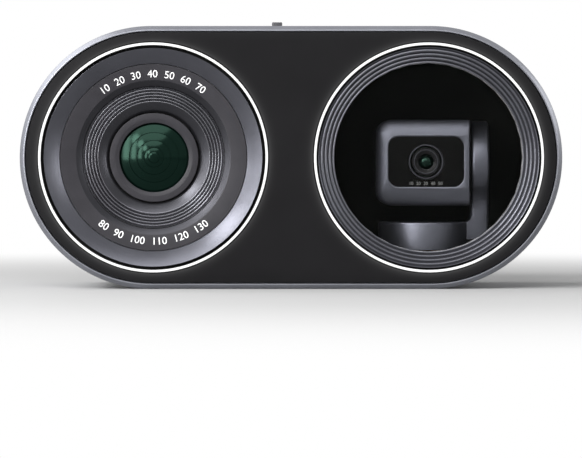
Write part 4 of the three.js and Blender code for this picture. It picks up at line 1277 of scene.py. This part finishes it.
lens_rim_section = collar(
    focus_bore - mask_flat / 2, focus_bore + mask_flat / 2, focus_low.y, focus_low.y + mask_flat
)
lens_rim = lens_ring("moving_lens_rim", lens_rim_section, edge)
mount(lens_rim, tele_lens_anodised, "focus_group", "ring_metal")
eye_sag = eye_curve - math.sqrt(eye_curve ** 2 - eye_radius ** 2)
eye_points = [
    (radius, moving_lens_low.y + eye_curve - math.sqrt(eye_curve ** 2 - radius ** 2))
    for radius in [eye_radius * i / lens_steps for i in range(lens_steps + 1)]
]
eye_points += [
    (moving_lens_radius, moving_lens_low.y + eye_sag + eye_ring_fall),
    (moving_lens_radius, moving_lens_high.y),
    (0, moving_lens_high.y),
]
moving_lens = turned("moving_front_lens", eye_points, tele_lens_axis, steps=small_turn_steps)
eye_glass = coated_glass(
    "moving_lens_glass", lens_black, lens_green, roughness=0.1, share=1.0, index=1.35
)
mount(moving_lens, eye_glass, "focus_group", "lens_glass", "tele_front_lens")
dress_nodes(black_anodised, "focus_actuator")


# Front panel: a flat satin black plate of dark polycarbonate, glued behind the lip. Round the
# rings' openings it emits a painted glow of their light, which fades outwards.
panel_opening, panel_edge = 34.9, 0.2
panel_inset = [
    (lip_wall + seam + inset, y)
    for inset, y in rounded_block(panel_low.y, panel_high.y, panel_edge)
]
opening_y = (panel_low.y - past, panel_high.y + past)
panel = carved(
    skinned("front_plate", oblong, panel_inset),
    *[
        rod("opening_cutter", panel_opening, *opening_y, axis, "y", turn_steps)
        for axis in (wide_axis, tele_axis)
    ],
)
panel_black = finish(
    "satin_black_panel",
    (0.008, 0.0078, 0.0085),
    0.36,
    patches=(12, 0.06, 0.02),
    relief=(0.2, 0.001),
    Specular_IOR_Level=0.08,
)
# Reach and strength of the painted glow that the panel emits round the ring openings.
painted_glow_reach, painted_glow_strength = 0.8, 0.045


def add_painted_glow(material, centres, radius):
    """A painted glow of the rings' light, which the panel emits round each opening and which fades
    outwards.
    """
    tree = material.node_tree
    total = 0.0
    for centre in centres:
        outside = reckon(tree, "SUBTRACT", axis_distance(tree, centre), radius * mm)
        fade = reckon(tree, "EXPONENT", reckon(tree, "DIVIDE", outside, -painted_glow_reach * mm))
        total = reckon(tree, "ADD", total, fade)
    shader = tree.nodes["Principled BSDF"]
    shader.inputs["Emission Color"].default_value = (1, 1, 1, 1)
    painted_glow_emission = reckon(tree, "MULTIPLY", total, painted_glow_strength)
    tree.links.new(painted_glow_emission, shader.inputs["Emission Strength"])


# The panel emits a painted glow of the rings' light round both openings.
add_painted_glow(panel_black, (wide_axis, tele_axis), panel_opening)
mount(panel, panel_black, "housing", "panel_black", "front_panel")


# Circuit boards: green solder mask over glass fibre, with the processor and the sensor; the lamp
# boards are masked black. The heat sink is cast. All of them keep the frame's own solids.
solder_mask = finish(
    "green_solder_mask", (0.02, 0.12, 0.06), 0.35, patches=(3, 0.25, 0.05), relief=(1.2, 0.02)
)
dress_nodes(solder_mask, "wide_sensor_board", "main_board", "tele_sensor_board")
dress_nodes(black_anodised, "wide_led_board", "tele_led_board")
chip_black = finish(
    "moulded_chip", (0.02, 0.02, 0.021), 0.5, patches=(1, 0.15, 0.05), relief=(0.1, 0.005)
)
dress_nodes(chip_black, "main_processor", "wide_sensor")
dress_nodes(cast_metal, "wide_heat_sink")
dress_nodes(bright_steel, "switch_body")


# Harness socket: a black moulded header on the main board, with two rows of gilt pins, that faces
# out through the port of the rear cover.
socket_low, socket_high = box_mm("harness_socket")
socket_centre = middle("harness_socket")
socket_size = (socket_high.x - socket_low.x, socket_high.z - socket_low.z)
socket_wall, socket_floor, socket_corner = 1.1, 1.5, 0.5
socket_x, socket_z = socket_centre.x, socket_centre.z
socket_outline = rounded_rectangle(socket_x, socket_z, *socket_size, socket_corner, steps=6)
recess_size = [size - 2 * socket_wall for size in socket_size]
recess_outline = rounded_rectangle(socket_x, socket_z, *recess_size, socket_corner / 2, steps=4)
recess_depths = [(0, socket_low.y + socket_floor), (0, socket_high.y + past)]
socket_piece = carved(
    skinned("harness_header", socket_outline, rounded_block(socket_low.y, socket_high.y, edge)),
    skinned("recess_cutter", recess_outline, recess_depths),
)
mount(socket_piece, chip_black, "housing", "chip_black", "harness_socket")


def instanced(tree, points, shape):
    inputs = {"Points": points, "Instance": shape}
    return add_node(tree, "GeometryNodeInstanceOnPoints", inputs).outputs[0]


def placed(tree, geometry, **change):
    """Geometry with a Translation or Rotation."""
    return add_node(tree, "GeometryNodeTransform", {"Geometry": geometry, **change}).outputs[0]


def pin_tree():
    """Two rows of square pins that stand along y on a base point."""
    tree, given, close = new_tree("header_pins", {
        "Int": ["Pins per Row"],
        "Float": ["Row Length", "Row Spacing"],
        "Vector": ["Pin Size"],
        "Material": ["Finish"],
    })
    grid = add_node(tree, "GeometryNodeMeshGrid", {
        "Size X": given["Row Length"],
        "Size Y": given["Row Spacing"],
        "Vertices X": given["Pins per Row"],
        "Vertices Y": 2,
    }).outputs["Mesh"]
    pin = add_node(tree, "GeometryNodeMeshCube", {"Size": given["Pin Size"]}).outputs["Mesh"]
    pins = instanced(tree, placed(tree, grid, Rotation=(quarter, 0, 0)), pin)
    close(instanced(tree, given["Geometry"], realised(tree, pins)))
    return tree


pins_per_row, pin_row_length, pin_row_spacing = 10, 18.0, 2.0
pin_size = (0.64, 4.0, 0.64)
gilt = finish("gilt_pins", (0.75, 0.52, 0.2), 0.25, 1.0, patches=(0.5, 0.08, 0.05))
pin_base = (socket_x, socket_low.y + socket_floor + pin_size[1] / 2, socket_z)
pins = grown(
    mesh_piece("header_pins", [pin_base]),
    pin_tree(),
    pins_per_row=pins_per_row,
    row_length=pin_row_length,
    row_spacing=pin_row_spacing,
    pin_size=pin_size,
    finish=gilt,
)
mount(pins, gilt, "housing", "brass")


# Rear cover: a matt black moulded plate with two banks of vent slots, bosses for the four threaded
# inserts, posts for the main board, and four screws into the shell.
cover_low, cover_high = box_mm("rear_cover")
cover_plate, cover_edge = 2.5, 0.35
cover_front_y = cover_high.y - cover_plate
screw_nodes = ["cover_screw_%d" % i for i in range(1, 5)]
insert_nodes = ["mount_insert_%d" % i for i in range(1, 5)]
insert_radius, boss_wall, boss_depth, boss_floor, boss_root = 2.4, 1.7, 4.9, 0.6, 1.0
screw_head_radius, screw_sink, shank_hole = 2.3, 1.5, 1.3
board_post_radius, board_post_inset = 2.2, 4.0
port_margin, port_corner = 1.4, 1.5
board_low, board_high = box_mm("main_board")


def bars(name, nodes, radius, low, high):
    """A rod along y on the axis of each node."""
    return [
        rod(name, radius, low, high, (middle(node).x, middle(node).z), "y") for node in nodes
    ]


cover_section = rounded_block(cover_front_y, cover_high.y, cover_edge)
cover_inset = [(lip_wall + seam + inset, y) for inset, y in cover_section]
cover = skinned("rear_plate", oblong, cover_inset)
boss_radius, boss_front_y = insert_radius + seam + boss_wall, cover_high.y - boss_depth
root_y, outside_y = cover_front_y + boss_root, cover_high.y + past
posts = [
    rod("post", board_post_radius, cover_low.y, root_y, (x, z), "y")
    for x in (board_low.x + board_post_inset, board_high.x - board_post_inset)
    for z in (board_low.z + board_post_inset, board_high.z - board_post_inset)
]
fused(cover, *bars("boss", insert_nodes, boss_radius, boss_front_y, root_y), *posts)
port_size = [size + 2 * port_margin for size in socket_size]
port_outline = rounded_rectangle(socket_x, socket_z, *port_size, port_corner, steps=8)
insert_hole, insert_hole_y = insert_radius + seam, boss_front_y + boss_floor
head_hole, head_hole_y = screw_head_radius + seam, cover_high.y - screw_sink
carved(
    cover,
    skinned("port_cutter", port_outline, [(0, cover_front_y - past), (0, outside_y)]),
    *bars("insert_cutter", insert_nodes, insert_hole, insert_hole_y, outside_y),
    *bars("screw_cutter", screw_nodes, head_hole, head_hole_y, outside_y),
    *bars("shank_cutter", screw_nodes, shank_hole, cover_front_y - past, cover_high.y),
)


slot_steps = 8


def vent_tree():
    """Cuts two banks of upright slots with round ends through the plate."""
    tree, given, close = new_tree("vent_slots", {
        "Int": ["Slots"],
        "Float": ["Pitch", "Slot Width", "Slot Height", "Slot Corner", "Slot Depth"],
        "Vector": ["First Bank", "Second Bank"],
        "Material": ["Finish"],
    })
    ring = add_node(tree, "GeometryNodeCurvePrimitiveQuadrilateral", {
        "Width": given["Slot Width"],
        "Height": given["Slot Height"],
    }).outputs["Curve"]
    eased = add_node(tree, "GeometryNodeFilletCurve", {
        "Curve": ring,
        "Radius": given["Slot Corner"],
        "Count": slot_steps,
    }, mode="POLY").outputs["Curve"]
    flat = add_node(tree, "GeometryNodeFillCurve", {"Curve": eased}, mode="NGONS").outputs["Mesh"]
    raised = add_node(tree, "GeometryNodeExtrudeMesh", {
        "Mesh": flat,
        "Offset": combined(tree, Z=given["Slot Depth"]),
        "Individual": False,
    }).outputs["Mesh"]
    under = add_node(tree, "GeometryNodeFlipFaces", {"Mesh": flat}).outputs["Mesh"]
    block = tree.nodes.new("GeometryNodeJoinGeometry")
    tree.links.new(raised, block.inputs[0])
    tree.links.new(under, block.inputs[0])
    upright = placed(tree, welded(tree, block.outputs[0]), Rotation=(quarter, 0, 0))
    subtract, multiply = sums(tree, "SUBTRACT", "MULTIPLY")
    first_x = multiply(multiply(subtract(given["Slots"], 1), -0.5), given["Pitch"])
    row = add_node(tree, "GeometryNodeMeshLine", {
        "Count": given["Slots"],
        "Start Location": combined(tree, X=first_x),
        "Offset": combined(tree, X=given["Pitch"]),
    }).outputs["Mesh"]
    bank = realised(tree, instanced(tree, row, upright))
    cutter = tree.nodes.new("GeometryNodeJoinGeometry")
    for side in ("First Bank", "Second Bank"):
        tree.links.new(placed(tree, bank, Translation=given[side]), cutter.inputs[0])
    cut = add_node(tree, "GeometryNodeMeshBoolean", {
        "Mesh 1": given["Geometry"],
        "Mesh 2": cutter.outputs[0],
    }, operation="DIFFERENCE", solver="EXACT").outputs["Mesh"]
    close(cut)
    return tree


vent_count, vent_pitch, vent_width, vent_height = 6, 4.8, 2.0, 22.0
vent_shift, vent_corner_share = 4.0, 0.49
cover_black = finish(
    "matt_black_moulding", (0.03, 0.03, 0.034), 0.55, patches=(8, 0.1, 0.04), relief=(0.5, 0.02)
)
grown(
    cover,
    vent_tree(),
    slots=vent_count,
    pitch=vent_pitch,
    slot_width=vent_width,
    slot_height=vent_height,
    slot_corner=vent_width * vent_corner_share,
    slot_depth=cover_plate + 2 * past,
    first_bank=(wide_axis[0] - vent_shift, outside_y, axis_height),
    second_bank=(tele_axis[0] + vent_shift, outside_y, axis_height),
    finish=cover_black,
)
mount(cover, cover_black, "housing", "cover_plastic", "rear_cover")


# Cover screws and mounting inserts: bright steel screws with six-sided sockets, and threaded brass
# inserts pressed into the bosses.
head_sides, shank_sides, socket_sides = 64, 32, 6
shank_overlap = 1.05


def screw_tree():
    """A socket screw on each point, its head towards +y."""
    tree, given, close = new_tree("socket_screws", {
        "Float": [
            "Head Radius",
            "Head Height",
            "Bevel",
            "Shank Radius",
            "Shank Length",
            "Socket Radius",
            "Socket Depth",
        ],
        "Material": ["Finish"],
    })
    subtract, multiply = sums(tree, "SUBTRACT", "MULTIPLY")

    def bar(sides, radius, top, length, start):
        """A round or six-sided bar from start along z."""
        cone = add_node(tree, "GeometryNodeMeshCone", {
            "Vertices": sides,
            "Radius Bottom": radius,
            "Radius Top": top,
            "Depth": length,
        }).outputs["Mesh"]
        return placed(tree, cone, Translation=combined(tree, Z=start))

    head, bevel, height = given["Head Radius"], given["Bevel"], given["Head Height"]
    shank, length = given["Shank Radius"], given["Shank Length"]
    socket, depth = given["Socket Radius"], given["Socket Depth"]
    low = multiply(height, -1)
    union = add_node(tree, "GeometryNodeMeshBoolean", operation="UNION", solver="EXACT")
    for piece in (
        bar(head_sides, head, head, subtract(height, bevel), low),
        bar(head_sides, head, subtract(head, bevel), bevel, multiply(bevel, -1)),
        bar(shank_sides, shank, shank, multiply(length, shank_overlap), subtract(low, length)),
    ):
        tree.links.new(piece, union.inputs["Mesh 2"])
    cut = add_node(tree, "GeometryNodeMeshBoolean", {
        "Mesh 1": union.outputs["Mesh"],
        "Mesh 2": bar(socket_sides, socket, socket, multiply(depth, 2), multiply(depth, -1)),
    }, operation="DIFFERENCE", solver="EXACT").outputs["Mesh"]
    laid = placed(tree, cut, Rotation=(-quarter, 0, 0))
    close(instanced(tree, given["Geometry"], laid))
    return tree


screw_points = [(middle(node).x, box_mm(node)[1].y, middle(node).z) for node in screw_nodes]
screws = grown(
    mesh_piece("cover_screws", screw_points),
    screw_tree(),
    head_radius=screw_head_radius,
    head_height=1.2,
    bevel=0.3,
    shank_radius=1.0,
    shank_length=4.4,
    socket_radius=1.15,
    socket_depth=0.8,
    finish=bright_steel,
)
mount(screws, bright_steel, "housing", "steel", *screw_nodes)

brass = finish("machined_brass", (0.6, 0.45, 0.2), 0.3, 0.95, patches=(0.8, 0.08, 0.05))
insert_bore, insert_threads, thread_relief = 1.25, 7, 0.16
for number, node in enumerate(insert_nodes, 1):
    insert_low, insert_high = box_mm(node)
    pitch = (insert_high.y - insert_low.y) / (insert_threads + 1)
    section = [(insert_bore, insert_low.y), (insert_radius, insert_low.y)]
    section += [(insert_radius, insert_high.y - edge), (insert_radius - edge, insert_high.y)]
    section += [(insert_bore + 2 * edge, insert_high.y), (insert_bore, insert_high.y - 2 * edge)]
    for thread in range(insert_threads, 0, -1):
        thread_y = insert_low.y + thread * pitch
        section += [(insert_bore + thread_relief, thread_y), (insert_bore, thread_y - pitch / 2)]
    insert_axis = (middle(node).x, middle(node).z)
    insert = turned("threaded_insert_%d" % number, section, insert_axis, steps=half_turn_steps)
    mount(insert, brass, "housing", "brass", node)


# Mode slider: a small moulded knob in dark grey on a foot inside the shell. Grooves across its top
# give the finger a hold.
knob_low, knob_high = box_mm("mode_slider")
knob_corner, knob_round = 0.5, 0.3
foot_size = (knob_high.x - knob_low.x, knob_high.y - knob_low.y)
knob_foot_height = 0.8
knob_outline = rounded_rectangle(knob_x, knob_y, knob_length, knob_width, knob_corner, steps=6)
knob_depths = rounded_block(knob_low.z + knob_foot_height / 2, knob_high.z, knob_round)
foot_outline = rounded_rectangle(knob_x, knob_y, *foot_size, knob_corner, steps=4)
foot_depths = [(0, knob_low.z), (0, knob_low.z + knob_foot_height)]
slider = fused(
    skinned("mode_knob", knob_outline, knob_depths, stand="z"),
    skinned("knob_foot", foot_outline, foot_depths, stand="z"),
)
grip_grooves, grip_pitch, grip_radius, grip_depth, grip_steps = 3, 0.7, 0.22, 0.08, 24
grip_x = [knob_x + (i - (grip_grooves - 1) / 2) * grip_pitch for i in range(grip_grooves)]
grip_z, grip_y = knob_high.z + grip_radius - grip_depth, (knob_y - knob_width, knob_y + knob_width)
grips = [rod("grip_cutter", grip_radius, *grip_y, (x, grip_z), "y", grip_steps) for x in grip_x]
carved(slider, *grips)
slider_paint = finish(
    "dark_moulded_knob", (0.032, 0.031, 0.036), 0.45, patches=(1, 0.1, 0.05), relief=(0.2, 0.008)
)
mount(slider, slider_paint, "mode_slider", "ring_dark", "mode_slider")


# Studio: a pale floor that fades into a white background, soft lights from the upper left and from
# both sides, and the camera of the photograph.
floor_size, floor_fade = 6.0, (0.12, 0.42)
half = floor_size / 2
floor_corners = [(-half, -half), (half, -half), (half, half), (-half, half)]
floor_mesh = bpy.data.meshes.new("floor")
floor_mesh.from_pydata([(x, y, cad_low.z) for x, y in floor_corners], [], [(0, 1, 2, 3)])
floor = bpy.data.objects.new("floor", floor_mesh)
bpy.context.scene.collection.objects.link(floor)
floor_paint = finish("pale_floor", (0.45, 0.45, 0.45), 0.7, Specular_IOR_Level=0.1)
floor_tree = floor_paint.node_tree
distance = add_node(
    floor_tree, "ShaderNodeVectorMath", {0: object_place(floor_tree)}, operation="LENGTH"
).outputs["Value"]
fade = add_node(floor_tree, "ShaderNodeMapRange", {
    "Value": distance,
    "From Min": floor_fade[0],
    "From Max": floor_fade[1],
}, interpolation_type="SMOOTHSTEP").outputs["Result"]
white_floor = add_node(floor_tree, "ShaderNodeEmission", {"Color": (1, 1, 1, 1), "Strength": 1.0})
path = add_node(floor_tree, "ShaderNodeLightPath")
seen = reckon(floor_tree, "MULTIPLY", fade, path.outputs["Is Camera Ray"])
floor_mix = add_node(floor_tree, "ShaderNodeMixShader", {
    0: seen,
    1: floor_tree.nodes["Principled BSDF"].outputs[0],
    2: white_floor.outputs[0],
})
floor_tree.links.new(floor_mix.outputs[0], floor_tree.nodes["Material Output"].inputs["Surface"])
dress(floor, floor_paint)

world = bpy.data.worlds.new("studio")
bpy.context.scene.world = world
world.use_nodes = True
world_tree = world.node_tree
room_light = 0.17
path = add_node(world_tree, "ShaderNodeLightPath")
shown = reckon(world_tree, "MAXIMUM", path.outputs["Is Camera Ray"], path.outputs["Is Glossy Ray"])
shown = reckon(world_tree, "MAXIMUM", shown, path.outputs["Is Transmission Ray"])
strength = add_node(
    world_tree, "ShaderNodeMapRange", {"Value": shown, "To Min": room_light, "To Max": 1.0}
)
background = world_tree.nodes["Background"]
background.inputs["Color"].default_value = (1, 1, 1, 1)
world_tree.links.new(strength.outputs["Result"], background.inputs["Strength"])

object_centre = Vector((0, lip_y * mm, axis_height * mm))
light_distance = 1.0
# azimuth (0 is straight in front) and elevation in degrees, width and height in metres, watts
softboxes = {
    "key_light": (-53, 33, 0.3, 0.3, 5.8),
    "window_light": (-11, 38, 0.85, 0.46, 5.4),
    "window_strip": (-36, 7, 0.13, 0.75, 4.0),
    "corner_light": (-26, 20, 0.16, 0.2, 1.6),
    "left_strip": (-51, 2, 0.1, 1.1, 4.2),
    "left_wall": (-74, 8, 0.3, 0.6, 3.6),
    "left_corner": (-102, 45, 0.8, 0.8, 5.2),
    "right_strip": (62, 2, 0.2, 0.7, 3.2),
    "right_corner": (95, 25, 0.6, 0.6, 2.4),
}
for name, (azimuth, elevation, width, height, power) in softboxes.items():
    lamp = bpy.data.lights.new(name, "AREA")
    lamp.shape = "ELLIPSE"
    lamp.size, lamp.size_y, lamp.energy = width, height, power
    box = bpy.data.objects.new(name, lamp)
    a, e = math.radians(azimuth), math.radians(elevation)
    away = Vector((math.sin(a) * math.cos(e), -math.cos(a) * math.cos(e), math.sin(e)))
    box.location = object_centre + away * light_distance
    box.rotation_mode = "QUATERNION"
    box.rotation_quaternion = away.to_track_quat("Z", "Y")
    box.visible_camera = False
    bpy.context.scene.collection.objects.link(box)

eye_distance, frame_width, frame_drop = 1.1, 174.6 * mm, -0.123
sensor_width, nearest = 36, 0.05
camera = bpy.data.cameras.new("photo_view")
camera.sensor_width = sensor_width
camera.lens = sensor_width * eye_distance / frame_width
camera.shift_x, camera.shift_y = 0.0, frame_drop
camera.clip_start = nearest
view = bpy.data.objects.new("photo_view", camera)
view.location = (0, lip_y * mm - eye_distance, axis_height * mm)
view.rotation_euler = (quarter, 0, 0)
bpy.context.scene.collection.objects.link(view)
bpy.context.scene.camera = view
bpy.context.scene.view_settings.view_transform = "Standard"
